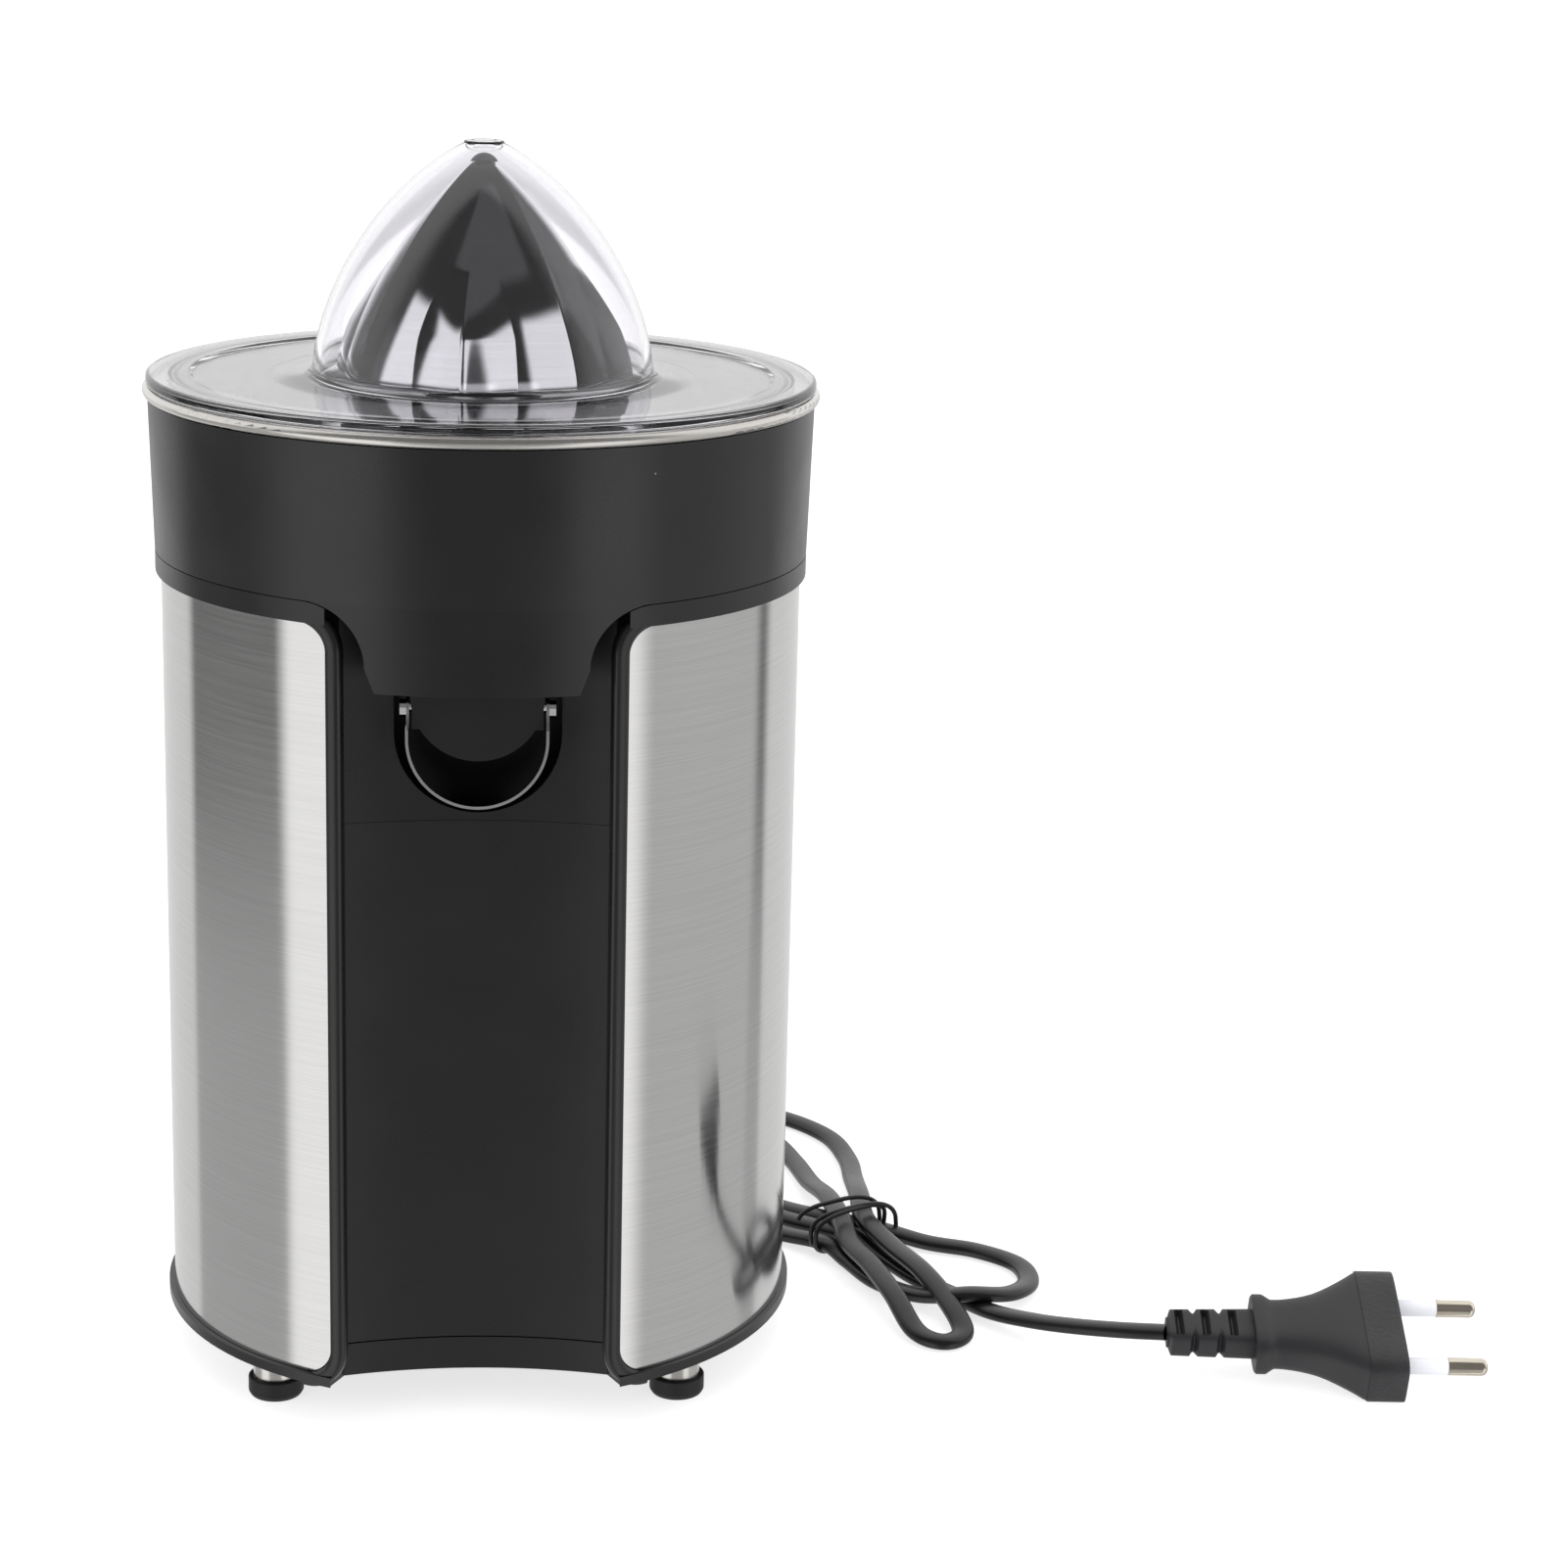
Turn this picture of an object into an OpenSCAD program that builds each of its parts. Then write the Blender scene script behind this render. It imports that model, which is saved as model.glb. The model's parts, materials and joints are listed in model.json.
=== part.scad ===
// Citrus press juicer: a motor base in a steel sleeve with a recessed black
// front column, a lift-off bowl with a tilting spout, a ribbed reamer that
// starts the motor when it is pressed, a clear lid and a tied mains lead.
// The origin is on the drive axis at floor level, and the spout faces -Y.

/* [Body] */
// Outer radius of the steel sleeve
sleeve_r = 70.3; // [64:0.1:86]
// Thickness of the sleeve's sheet
sleeve_t = 0.5; // [0.4:0.1:0.8]
// Height of the sleeve
sleeve_h = 166.3; // [140:0.1:200]
// Height of the underside above the floor
foot_h = 11; // [9:0.5:16]
// How far the plastic rings stand out past the sleeve
lip_out = 1.3; // [0.8:0.1:2]
// Height of the lip under the sleeve
lip_h = 2.2; // [1.8:0.1:4]
// Height of the ring above the sleeve
ring_h = 4.5; // [3:0.1:7]
// Radius of the sleeve's corners beside the column
corner_r = 6; // [3:0.5:9]
// Wall of the moulded chassis
liner_wall = 2.2; // [1.8:0.1:3]

/* [Feet] */
// Distance of each foot from the centre planes, sideways
foot_x = 44.5; // [36:0.5:48]
// Distance of each foot from the centre planes, front to back
foot_y = 42; // [34:0.5:46]
// Radius of a steel foot post
post_r = 5; // [4:0.1:6]
// Height of a rubber foot cap
cap_h = 4.5; // [3:0.1:6]

/* [Front column] */
// Width of the opening between the sleeve's edges
column_w = 62.4; // [54:0.1:70]
// Width of the recessed panel
panel_w = 57.2; // [48:0.1:60]
// How far the panel's middle lies behind the sleeve's front
panel_depth = 16.3; // [13:0.1:20]
// How much the panel bows inwards
panel_sag = 4; // [2:0.1:6]
// Thickness of the column's panels
panel_t = 2.2; // [1.8:0.1:3]
// Height of the base skirt under the lower panel
skirt_h = 7.5; // [5:0.1:12]
// Height of the lower panel
panel_h = 117; // [95:0.5:125]

/* [Bowl] */
// Height of the black collar
collar_h = 33.1; // [28:0.1:40]
// How much wider the collar is at its top
collar_flare = 1; // [0:0.1:3]
// Wall of the collar
collar_wall = 2.6; // [2:0.1:3.5]
// Thickness of the collar's floor
collar_floor = 2.4; // [2:0.1:3]
// Sheet thickness of the steel bowl
bowl_t = 0.8; // [0.6:0.1:1.2]
// Radius of the rolled bead on the bowl's rim
bead_r = 1.3; // [1:0.1:1.8]
// Height of the chimney round the drive shaft
chimney_h = 20; // [16:0.5:24]
// Inner radius of the chimney
chimney_r = 11; // [10:0.1:12]
// Depth of the apron that hangs in front of the column
apron_h = 18; // [14:0.1:24]
// Half width of the apron's bottom edge
apron_half = 21; // [17:0.1:24]
// Radius of the apron's concave shoulders
apron_fillet = 13; // [9:0.1:15]

/* [Spout] */
// Outer radius of the steel trough
spout_r = 14.8; // [12:0.1:16]
// Sheet thickness of the trough
spout_t = 0.6; // [0.5:0.1:1]
// Length of the trough
spout_l = 28; // [24:0.5:32]
// Radius of the hinge pins
pin_r = 1.5; // [1.2:0.1:2]
// Space between the trough and the notch in the column
notch_gap = 2.7; // [2.2:0.1:4]

/* [Reamer] */
// Radius of the reamer's foot
reamer_r = 32.8; // [28:0.1:36]
// Height of the reamer
reamer_h = 45; // [40:0.1:52]
// Number of long ribs on the reamer, each with a short one between it and the next
ribs = 4; // [3:1:6]
// Depth of the flutes between the ribs
flute = 3.2; // [1:0.1:4]
// Wall of the reamer's steel shell
reamer_t = 1.2; // [0.8:0.1:2]

/* [Lid] */
// Wall of the clear lid
lid_t = 1.6; // [1.2:0.1:2.4]
// Space between the reamer's foot and the lid's dome
lid_gap = 3.2; // [2.5:0.1:6]
// Width of the raised ring round the lid's edge
lid_ring_w = 9.5; // [6:0.5:14]

/* [Strainer] */
// Number of slots in each ring of the strainer
slots = 36; // [20:2:44]
// Width of a slot
slot_w = 1.6; // [1:0.1:2]

/* [Drive] */
// Radius of the drive shaft
shaft_r = 4; // [3.5:0.1:4.5]
// Radius of the rotor's shaft
rotor_shaft_r = 2.5; // [2:0.1:3]
// Height of the stator's stack
stack_h = 36; // [26:1:42]
// Gear module
gear_m = 1; // [0.9:0.05:1.1]
// Teeth on each pinion
pinion_teeth = 12; // [11:1:14]
// Teeth on the idler's wheel
wheel_teeth = 48; // [44:1:50]
// Teeth on the output gear
output_teeth = 52; // [46:1:54]
// Travel of the shaft when the reamer is pressed
press = 3; // [2:0.1:3.5]
// Radial clearance of a shaft in its bush
running = 0.05; // [0.02:0.01:0.1]

/* [Mains lead] */
// Width of the flat cord
cord_w = 5.2; // [4:0.1:6]
// Thickness of the flat cord
cord_t = 3.2; // [2.6:0.1:4]
// Radius of a plug pin
plug_pin_r = 2; // [1.8:0.1:2.4]
// Distance between the plug pins
plug_pitch = 18.6; // [17:0.1:19]

/* [Hidden] */
$fn = 96;
// A cut runs this far past the faces that it opens
past = 1;
// Cuts from the front start here, well inside the body
cut_y = -30;
// Clearance between pieces that drop into one another
fit = 0.2;

// Levels of the body, from the floor up
plate_t = lip_h + 0.3;
lip_z = foot_h + lip_h;
sleeve_z = lip_z + sleeve_h;
ring_z = sleeve_z + ring_h;
skirt_z = foot_h + skirt_h;
seam_z = skirt_z + panel_h;
lip_r = sleeve_r + lip_out;
liner_ro = sleeve_r - sleeve_t - 0.1;
liner_ri = liner_ro - liner_wall;
floor_z = foot_h + plate_t;

// Plan of the column: a cylinder hollows the panel, centred far in front
panel_half = panel_w / 2;
column_half = column_w / 2;
panel_y = panel_depth - sleeve_r;
hollow_r = (panel_half * panel_half + panel_sag * panel_sag) / (2 * panel_sag);
hollow_y = panel_y - hollow_r;
edge_y = panel_y - panel_sag;
sleeve_edge_y = -sqrt(sleeve_r * sleeve_r - column_half * column_half);
cheek = 1.8;

// Bowl unit, measured from the seam over the ring
collar_z = ring_z + fit;
collar_top = collar_z + collar_h;
collar_r = lip_r;
collar_ri = collar_r - collar_wall;
bead_z = collar_top + 0.2 + bead_r;
bead_y = collar_r + collar_flare - fit;
bowl_r = collar_r - 2.7;
bowl_z = collar_z + collar_floor;
step_z = bowl_z + 19.2;
apron_z = collar_z - apron_h;
apron_x = apron_half + 2 + apron_fillet;
deck_top = ring_z - 4.4;
deck_t = 3;
deck_ri = 9.5;

// Spout and its pocket
spout_z = ring_z - 28;
spout_y = -(sleeve_r - 4.3);
pivot_z = spout_z + 5;
pivot_y = spout_y + 10;
notch_r = spout_r + notch_gap;
notch_z = spout_z - 1.2;
pocket_r = notch_r + 2;
pocket_z = notch_z - 4.8;
pocket_y = spout_y + spout_l + 5;
duct_half = spout_r - spout_t - 0.6;
duct_wall = 1.7;
hood_z = ring_z - 19.6;
hood_y = spout_y + 4;
duct_back = spout_y + spout_l - 2;

// Round outlet in the bowl's floor, over the duct
outlet_y = (hood_y + duct_back) / 2;
outlet_r = 8.2;

// Reamer, strainer and lid
reamer_z = collar_top + 5.3;
strainer_z = step_z + bowl_t / 2;
lid_z = bead_z + bead_r + 0.1;
lid_r = bead_y + 0.5;
dome_r = reamer_r + lid_gap + lid_t;
dome_h = reamer_h + 6.8;

// Gear train: the idler's axis lies where both meshes close
pinion_pr = gear_m * pinion_teeth / 2;
wheel_pr = gear_m * wheel_teeth / 2;
output_pr = gear_m * output_teeth / 2;
first_mesh = pinion_pr + wheel_pr;
second_mesh = pinion_pr + output_pr;
rotor_y = 22;
idler_y = (second_mesh * second_mesh - first_mesh * first_mesh + rotor_y * rotor_y) / (2 * rotor_y);
idler_x = sqrt(second_mesh * second_mesh - idler_y * idler_y);
gear_z = lip_z + 84.8;
plate_top = gear_z + 3;
wheel_z = plate_top + 4;
wheel_w = 5;
output_z = wheel_z + wheel_w + press + 3;
output_w = 7;
cover_in = 26.5;
cover_top = plate_top + cover_in + 2.5;
shaft_z = gear_z - 2;
shaft_top = reamer_z + 14;
carrier_z = cover_top + 16;
clip_t = 1.2;
hub_z = reamer_z - 9.5;
stack_z = floor_z + 27.5;

// Directions at the idler, used to set the teeth in mesh
to_rotor = atan2(rotor_y - idler_y, -idler_x);
to_shaft = atan2(-idler_y, -idler_x);

// Cord route in millimetres: out of the back, along the floor, five times
// through the tie with two loops on each side, and on to the plug
route = [[0, 96, 21], [0, 106, 20], [3, 119, 12], [10, 132, 4], [22, 140, 1.8], [40, 144, 1.8],
    [60, 140, 1.8], [78, 130, 1.8], [90, 115, 1.8], [94, 97, 2.2], [94, 78, 4], [94, 60, 6.4],
    [94, 43, 7], [99, 27, 6.6], [105, 11, 6.6], [110, -4, 4.4], [112, -15, 2], [107, -20, 1.8],
    [101, -15, 2.4], [97, -1, 5.6], [93, 14, 6.8], [89, 28, 6.8], [88, 43, 7], [86, 60, 6.2],
    [83, 78, 3], [80, 96, 1.8], [75, 112, 1.8], [66, 122, 1.8], [56, 122, 1.8], [50, 112, 1.8],
    [51, 99, 1.8], [57, 86, 1.8], [66, 73, 1.8], [77, 60, 2.6], [96, 47, 3.3], [109, 40, 2],
    [121, 35, 1.8], [130, 26, 1.8], [131, 14, 2.2], [125, 3, 4], [115, -1, 5.6], [104, 4, 3.2],
    [95, 15, 1.9], [89, 27, 2.4], [84, 36, 3.3], [74, 45, 2.2], [62, 54, 1.8], [49, 63, 1.8],
    [37, 72, 1.8], [31, 83, 1.8], [36, 93, 1.8], [46, 92, 1.8], [54, 81, 1.8], [64, 68, 1.8],
    [75, 55, 2.4], [90, 41.5, 3.3], [98, 29, 2.2], [105, 17, 1.8], [113, 6, 2], [120, -6, 3.2],
    [128, -15.5, 5.1], [136, -23, 7], [146, -30, 9], [156, -34, 10.15]];
gland_z = route[0][2];
relief_l = route[0][1] - sleeve_r;
tie_at = [90, 41.5, 5.7];
tie_turn = 35;
wire_r = 0.6;
plug_at = route[len(route) - 1];
plug_heading = -3;
plug_roll = 21;
relief_len = 20;
plug_len = 33;
pin_len = 19;
sleeve_len = 10;

// ---- Shared shapes ----

// A tube round the Z axis
module ring(outer, inner, z, h) {
    translate([0, 0, z])
        difference() {
            cylinder(r = outer, h = h);
            translate([0, 0, -past]) cylinder(r = inner, h = h + 2 * past);
        }
}

// A disc round the Z axis
module disc(r, z, h) {
    translate([0, 0, z]) cylinder(r = r, h = h);
}

// A front view, drawn as X and height, extruded from y0 towards the front
module front(y0, depth) {
    translate([0, y0, 0]) rotate([90, 0, 0]) linear_extrude(depth) children();
}

// A pan-head screw that points down, with its head's underside at the origin
module screw(r, len, head_r, head_h) {
    translate([0, 0, -len]) cylinder(r = r, h = len);
    cylinder(r = head_r, h = head_h);
}

// Copies of a shape at a list of places
module at(places) {
    for (p = places) translate(p) children();
}

// Everything in front of the column's panel, in plan, set back by gap
module column_void(gap) {
    intersection() {
        translate([0, hollow_y]) circle(r = hollow_r + gap);
        translate([-panel_half, hollow_y]) square([panel_w, hollow_r + past]);
    }
    polygon([[-column_half, -sleeve_r - 9], [column_half, -sleeve_r - 9],
        [column_half, sleeve_edge_y - 0.4], [panel_half, edge_y + gap],
        [-panel_half, edge_y + gap], [-column_half, sleeve_edge_y - 0.4]]);
}

// The room that the column takes inside the chassis, in plan
module column_room(gap) {
    intersection() {
        translate([0, hollow_y]) circle(r = hollow_r + panel_t + gap);
        translate([-panel_half - gap, hollow_y]) square([panel_w + 2 * gap, hollow_r + 9]);
    }
    for (side = [-1, 1])
        translate([side * (column_half + 0.4), edge_y - 3.2])
            square([2 * (column_half - panel_half) + 2 * gap, 12 + 2 * gap], center = true);
}

// The panel's band in plan, as wide as half on each side
module panel_band(half) {
    intersection() {
        difference() {
            translate([0, hollow_y]) circle(r = hollow_r + panel_t);
            translate([0, hollow_y]) circle(r = hollow_r);
        }
        translate([-half, hollow_y]) square([2 * half, hollow_r + 9]);
    }
}

// The cheeks that join the panel to the sleeve's edges, in plan
module cheeks() {
    for (side = [-1, 1])
        scale([side, 1])
            polygon([[column_half, sleeve_edge_y - 0.4], [panel_half, edge_y],
                [panel_half, edge_y + panel_t], [column_half + cheek, edge_y + 0.5],
                [column_half + cheek, sleeve_edge_y + 2], [column_half, sleeve_edge_y + 1.1]]);
}

// One side of the opening's outline, from the top corner to the bottom one
function opening_edge(r) = concat(
    [for (i = [0 : 8]) let (a = 90 + 90 * i / 8)
        [column_half + r + r * cos(a), sleeve_z - r + r * sin(a)]],
    [for (i = [0 : 8]) let (a = 180 + 90 * i / 8)
        [column_half + r + r * cos(a), lip_z + r + r * sin(a)]]);

// Front view of the opening in the sleeve, with its rounded corners
module sleeve_opening(r) {
    right = concat([[column_half + r, sleeve_z + past]], opening_edge(r),
        [[column_half + r, lip_z - past]]);
    polygon(concat(right, [for (i = [len(right) - 1 : -1 : 0]) [-right[i][0], right[i][1]]]));
}

// Front view of the small corners between that opening and the column
module corner_fill(r) {
    edge = opening_edge(r);
    inner = column_half - 0.05;
    for (side = [-1, 1])
        scale([side, 1]) {
            polygon(concat([[inner, sleeve_z + 0.5], [column_half + r, sleeve_z + 0.5]],
                [for (i = [0 : 8]) edge[i]], [[inner, sleeve_z - r]]));
            polygon(concat([[inner, lip_z + r]], [for (i = [9 : 17]) edge[i]], [[inner, lip_z]]));
        }
}

// Front view of the apron, grown by gap
module apron_view(gap, top) {
    r = apron_fillet - gap;
    difference() {
        polygon([[-apron_half - gap, apron_z - gap], [apron_half + gap, apron_z - gap],
            [apron_x - r, top - r], [apron_x, top - r], [apron_x, top + past],
            [-apron_x, top + past], [-apron_x, top - r], [r - apron_x, top - r]]);
        for (side = [-1, 1]) translate([side * apron_x, top - r]) circle(r = r);
    }
}

// Front view of a U: a half round with straight sides up to top
module u_view(r, z, top) {
    difference() {
        union() {
            translate([0, z]) circle(r = r);
            translate([-r, z]) square([2 * r, top - z]);
        }
        translate([-r - past, top]) square([2 * r + 2 * past, r + past]);
    }
}

// ---- Gear teeth ----

// Share of a tooth's thickness that is left out as play
tooth_play = 0.14;

// Involute angle in degrees at radius r of a base circle rb
function involute(rb, r) = r <= rb ? 0 : tan(acos(rb / r)) * 180 / PI - acos(rb / r);

// Half the angle of a tooth at radius r
function half_tooth(n, pitch, r) = 90 / n * (1 - tooth_play)
    + involute(pitch * cos(20), pitch) - involute(pitch * cos(20), r);
function polar(r, a) = [r * cos(a), r * sin(a)];
function tooth_radii(pitch) = let (root = pitch - 1.15 * gear_m, tip = pitch + 0.85 * gear_m,
    base = max(root, pitch * cos(20))) [root, base, (base + tip) / 2, tip];
function gear_points(n) = let (pitch = gear_m * n / 2, radii = tooth_radii(pitch))
    [for (i = [0 : n - 1], side = [-1, 1], k = [0 : 3])
        let (r = radii[side < 0 ? k : 3 - k])
        polar(r, 360 * i / n + side * half_tooth(n, pitch, r))];

// A spur gear with n teeth, turned by phase, with a bore of radius bore
module gear(n, h, phase, bore) {
    difference() {
        rotate(phase) linear_extrude(h) polygon(gear_points(n));
        translate([0, 0, -past]) cylinder(r = bore, h = h + 2 * past);
    }
}

// ---- Swept surfaces ----

// Faces of a closed skin through rings of equal size
function skin_faces(count, sides) = concat(
    [[for (j = [0 : sides - 1]) j]],
    [for (i = [0 : count - 2], j = [0 : sides - 1], t = [0, 1])
        let (k = (j + 1) % sides, a = i * sides, b = a + sides)
        t == 0 ? [a + j, b + j, b + k] : [a + j, b + k, a + k]],
    [[for (j = [0 : sides - 1]) count * sides - 1 - j]]);
module skin(rings) {
    polyhedron([for (r = rings, p = r) p], skin_faces(len(rings), len(rings[0])), convexity = 8);
}
function unit(v) = v / norm(v);

// An oval across the direction along, w wide and t thick, w lying level
function oval(centre, along, w, t, sides) = let (across = unit(cross(along, [0, 0, 1])),
    up = unit(cross(across, along)))
    [for (j = [0 : sides - 1]) centre + across * w / 2 * cos(360 * j / sides)
        + up * t / 2 * sin(360 * j / sides)];
// Direction of a route at its point i
function heading(p, i) = unit(p[min(i + 1, len(p) - 1)] - p[max(i - 1, 0)]);

// ---- Base ----

// Places of the feet and of the base screws
feet = [for (x = [-foot_x, foot_x], y = [-foot_y, foot_y]) [x, y, 0]];
base_screw_r = liner_ri - 4.5;
base_screws_a = [10, 62, 118, 170, 200, 340];
base_screws_at = [for (a = base_screws_a) [base_screw_r * cos(a), base_screw_r * sin(a), 0]];

// Bottom tray with its lip, its curved front skirt and its cooling slots
module base_tray() {
    color("#1d1d1f")
        difference() {
            union() {
                disc(liner_ro, foot_h, plate_t);
                ring(lip_r, lip_r - 3, foot_h, lip_h);
                ring(liner_ri - fit, liner_ri - 2.2, foot_h, skirt_h - 1.5);
                for (p = motor_posts) translate([p[0], p[1], foot_h]) cylinder(r = 5.5, h = plate_t + 4);
                translate([0, 0, foot_h])
                    linear_extrude(skirt_h - fit)
                        union() {
                            panel_band(panel_half);
                            cheeks();
                        }
            }
            translate([0, 0, foot_h - past])
                linear_extrude(skirt_h + 2 * past) column_void(0);
            for (a = [0 : 30 : 330])
                rotate(a + 15) translate([18, -1.5, foot_h - past]) cube([12, 3, plate_t + 2 * past]);
            at([for (p = base_screws_at) [p[0], p[1], foot_h - past]])
                cylinder(r = 1.7, h = plate_t + 2 * past);
            at([for (p = feet) [p[0], p[1], foot_h - past]]) cylinder(r = 2, h = 12);
            for (p = motor_posts) translate([p[0], p[1], floor_z]) cylinder(r = 4, h = 9);
            translate([0, liner_ri, gland_z]) rotate([90, 0, 0]) cylinder(r = 5.5, h = 12, center = true);
        }
}

module base_screws() {
    color("#8d9094")
        at([for (p = base_screws_at) [p[0], p[1], foot_h]])
            mirror([0, 0, 1]) screw(1.5, plate_t + 8, 3, 1.8);
}

// Steel posts that are screwed up into the tray
module foot_posts() {
    color("#b9bbbd")
        at(feet)
            union() {
                disc(post_r, 1.5, foot_h - 1.5);
                disc(2, foot_h - past, plate_t + past);
            }
}

// Rubber caps under the posts
module foot_caps() {
    color("#202022")
        at(feet)
            difference() {
                union() {
                    disc(post_r + 1.1, 0.6, cap_h - 0.6);
                    disc(post_r + 0.5, 0, 1);
                }
                disc(post_r, 1.5, cap_h);
            }
}

// Brushed steel sheet wrapped round the chassis, open at the column
module steel_sleeve() {
    color("#c4c2bf")
        difference() {
            ring(sleeve_r, sleeve_r - sleeve_t, lip_z, sleeve_h);
            front(cut_y, lip_r) sleeve_opening(corner_r);
            translate([0, sleeve_r, gland_z]) rotate([90, 0, 0]) cylinder(r = 6, h = 12, center = true);
        }
}

// Moulded chassis: liner, top ring, shoulders, cheeks and notched upper panel
module chassis() {
    color("#1f1f21")
        difference() {
            union() {
                ring(liner_ro, liner_ri, floor_z, ring_z - floor_z);
                ring(lip_r, liner_ri, sleeve_z, ring_h);
                intersection() {
                    ring(sleeve_r, liner_ri + 0.6, floor_z, sleeve_h + 1);
                    front(cut_y, lip_r) corner_fill(corner_r);
                }
                ring(liner_ri + 0.5, liner_ri - 5.5, deck_top - deck_t - 3, 3);
                difference() {
                    ring(liner_ri + 0.5, liner_ri - 4, gear_z - 3, 3);
                    translate([0, 0, gear_z - 3 - past]) linear_extrude(3 + 2 * past) column_room(fit);
                }
                at([for (p = base_screws_at) [p[0], p[1], floor_z]])
                    linear_extrude(10) circle(r = 3.4);
                for (a = base_screws_a)
                    rotate(a) translate([base_screw_r, -2, floor_z]) cube([5.5, 4, 10]);
                translate([0, 0, seam_z + fit]) linear_extrude(ring_z - seam_z - fit) panel_band(panel_half);
                translate([0, 0, skirt_z]) linear_extrude(ring_z - skirt_z) cheeks();
            }
            translate([0, 0, floor_z - past])
                linear_extrude(ring_z) column_void(0);
            ring(liner_ri + 0.1, liner_ri - 2.5, foot_h, skirt_h - 1);
            translate([-column_half - cheek - fit, -lip_r - past, floor_z - past])
                cube([column_w + 2 * cheek + 2 * fit, lip_r + past + edge_y + panel_t + fit,
                    skirt_z - floor_z + past]);
            front(cut_y, lip_r) u_view(notch_r, notch_z, ring_z + past);
            difference() {
                front(cut_y, lip_r) apron_view(1, ring_z);
                disc(liner_ri - past, 0, ring_z + 2 * past);
            }
            at([for (p = base_screws_at) [p[0], p[1], floor_z - past]]) cylinder(r = 1.5, h = 9.5);
            at([for (a = plate_screws_a) [plate_screw_r * cos(a), plate_screw_r * sin(a), gear_z - 4]])
                cylinder(r = 1.25, h = 6);
            at([for (a = deck_screws_a) [deck_screw_r * cos(a), deck_screw_r * sin(a), deck_top - deck_t - 6]])
                cylinder(r = 1.25, h = 8);
            translate([0, sleeve_r, gland_z]) rotate([90, 0, 0]) cylinder(r = 5.5, h = 16, center = true);
        }
}

// Concave lower panel between the cheeks
module front_panel() {
    color("#242426")
        translate([0, 0, skirt_z + fit / 2])
            linear_extrude(panel_h) panel_band(panel_half - fit);
}

// Deck under the bowl, with the spout's pocket and the shaft's boss
deck_screws_a = [40, 140, 215, 325];
deck_screw_r = liner_ri - 2.9;
module top_deck() {
    color("#2a2a2c")
        difference() {
            union() {
                disc(liner_ri - fit, deck_top - deck_t, deck_t);
                disc(deck_ri, deck_top - 14, 30);
                front(pocket_y + 2, pocket_y + 2 - edge_y)
                    u_view(pocket_r + 2, pocket_z, deck_top - 0.5);
            }
            front(pocket_y, lip_r) u_view(pocket_r, pocket_z, deck_top + past);
            disc(shaft_r + 0.6, deck_top - 20, 60);
            disc(6.5, deck_top + 2, 20);
            translate([0, 0, pocket_z - 40]) linear_extrude(120) column_room(fit);
            at([for (a = deck_screws_a) [deck_screw_r * cos(a), deck_screw_r * sin(a), deck_top - 5]])
                cylinder(r = 1.4, h = 9);
        }
}

module deck_screws() {
    color("#8d9094")
        at([for (a = deck_screws_a) [deck_screw_r * cos(a), deck_screw_r * sin(a), deck_top]])
            screw(1.25, 6, 2.3, 1.4);
}

// ---- Gearbox and shaft support ----

plate_screws_a = [55, 125, 205, 335];
plate_screw_r = liner_ri - 2.2;
cover_ears = [[-33, 8, 0], [-22, -25, 0], [57, 2, 0]];
motor_posts = [for (x = [-27, 27], y = [0, 40]) [x, y, 0]];
stator_bolts = [for (x = [-24.5, 24.5], y = [8, 34]) [x, y, 0]];

// Brass bush in the deck's boss
module upper_bush() {
    color("#b8924a") ring(6.5, shaft_r + running, deck_top + 2, 11);
}

// Lip seal on top of the bush
module shaft_seal() {
    color("#2b2b2d") ring(6.5, shaft_r + running, deck_top + 13, 3);
}

// Plate that carries the gear train and the rotor's upper bearing
module gear_plate() {
    color("#34363a")
        difference() {
            disc(liner_ri - fit, gear_z, 3);
            translate([0, 0, gear_z - past]) linear_extrude(5) column_room(fit);
            disc(7, gear_z - past, 5);
            translate([0, rotor_y, 0]) disc(6, gear_z - past, 5);
            translate([idler_x, idler_y, 0]) disc(2, gear_z - past, 5);
            at([for (a = plate_screws_a) [plate_screw_r * cos(a), plate_screw_r * sin(a), gear_z - past]])
                cylinder(r = 1.25, h = 5);
            at([for (p = cover_ears) [p[0], p[1], gear_z - past]]) cylinder(r = 1.25, h = 5);
            translate([-25, 0, gear_z - past]) cylinder(r = 5, h = 5);
        }
}

module plate_screws() {
    color("#8d9094")
        at([for (a = plate_screws_a) [plate_screw_r * cos(a), plate_screw_r * sin(a), plate_top]])
            screw(1.25, 6, 2, 1.6);
}

// Flanged bush for the foot of the shaft
module lower_bush() {
    color("#b8924a")
        union() {
            ring(7, shaft_r + running, gear_z, 3);
            ring(8.5, shaft_r + running, plate_top, 1);
        }
}

// Plan of the gear housing's inside, grown by wall
module cover_plan(wall) {
    circle(r = output_pr + 2.5 + wall);
    translate([idler_x, idler_y]) circle(r = wheel_pr + 2.5 + wall);
    translate([0, rotor_y]) circle(r = 9.5 + wall);
}

// Cup-shaped housing over the gears
module gear_cover() {
    color("#3a3d42")
        difference() {
            union() {
                translate([0, 0, plate_top]) linear_extrude(cover_in + 2.5) cover_plan(2);
                at([for (p = cover_ears) [p[0], p[1], plate_top]]) cylinder(r = 5, h = 3);
            }
            translate([0, 0, plate_top - past]) linear_extrude(cover_in + past) cover_plan(0);
            disc(7.6, cover_top - 5, 8);
            at([for (p = cover_ears) [p[0], p[1], plate_top + 3]]) cylinder(r = 2.6, h = cover_in + 3);
            at([for (p = cover_ears) [p[0], p[1], plate_top - past]]) cylinder(r = 1.25, h = 6);
            translate([idler_x, idler_y, 0]) disc(2, cover_top - 5, 8);
            at([for (p = switch_screws_at) [p[0], p[1], cover_top - 5]]) cylinder(r = 1, h = 8);
        }
}

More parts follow.
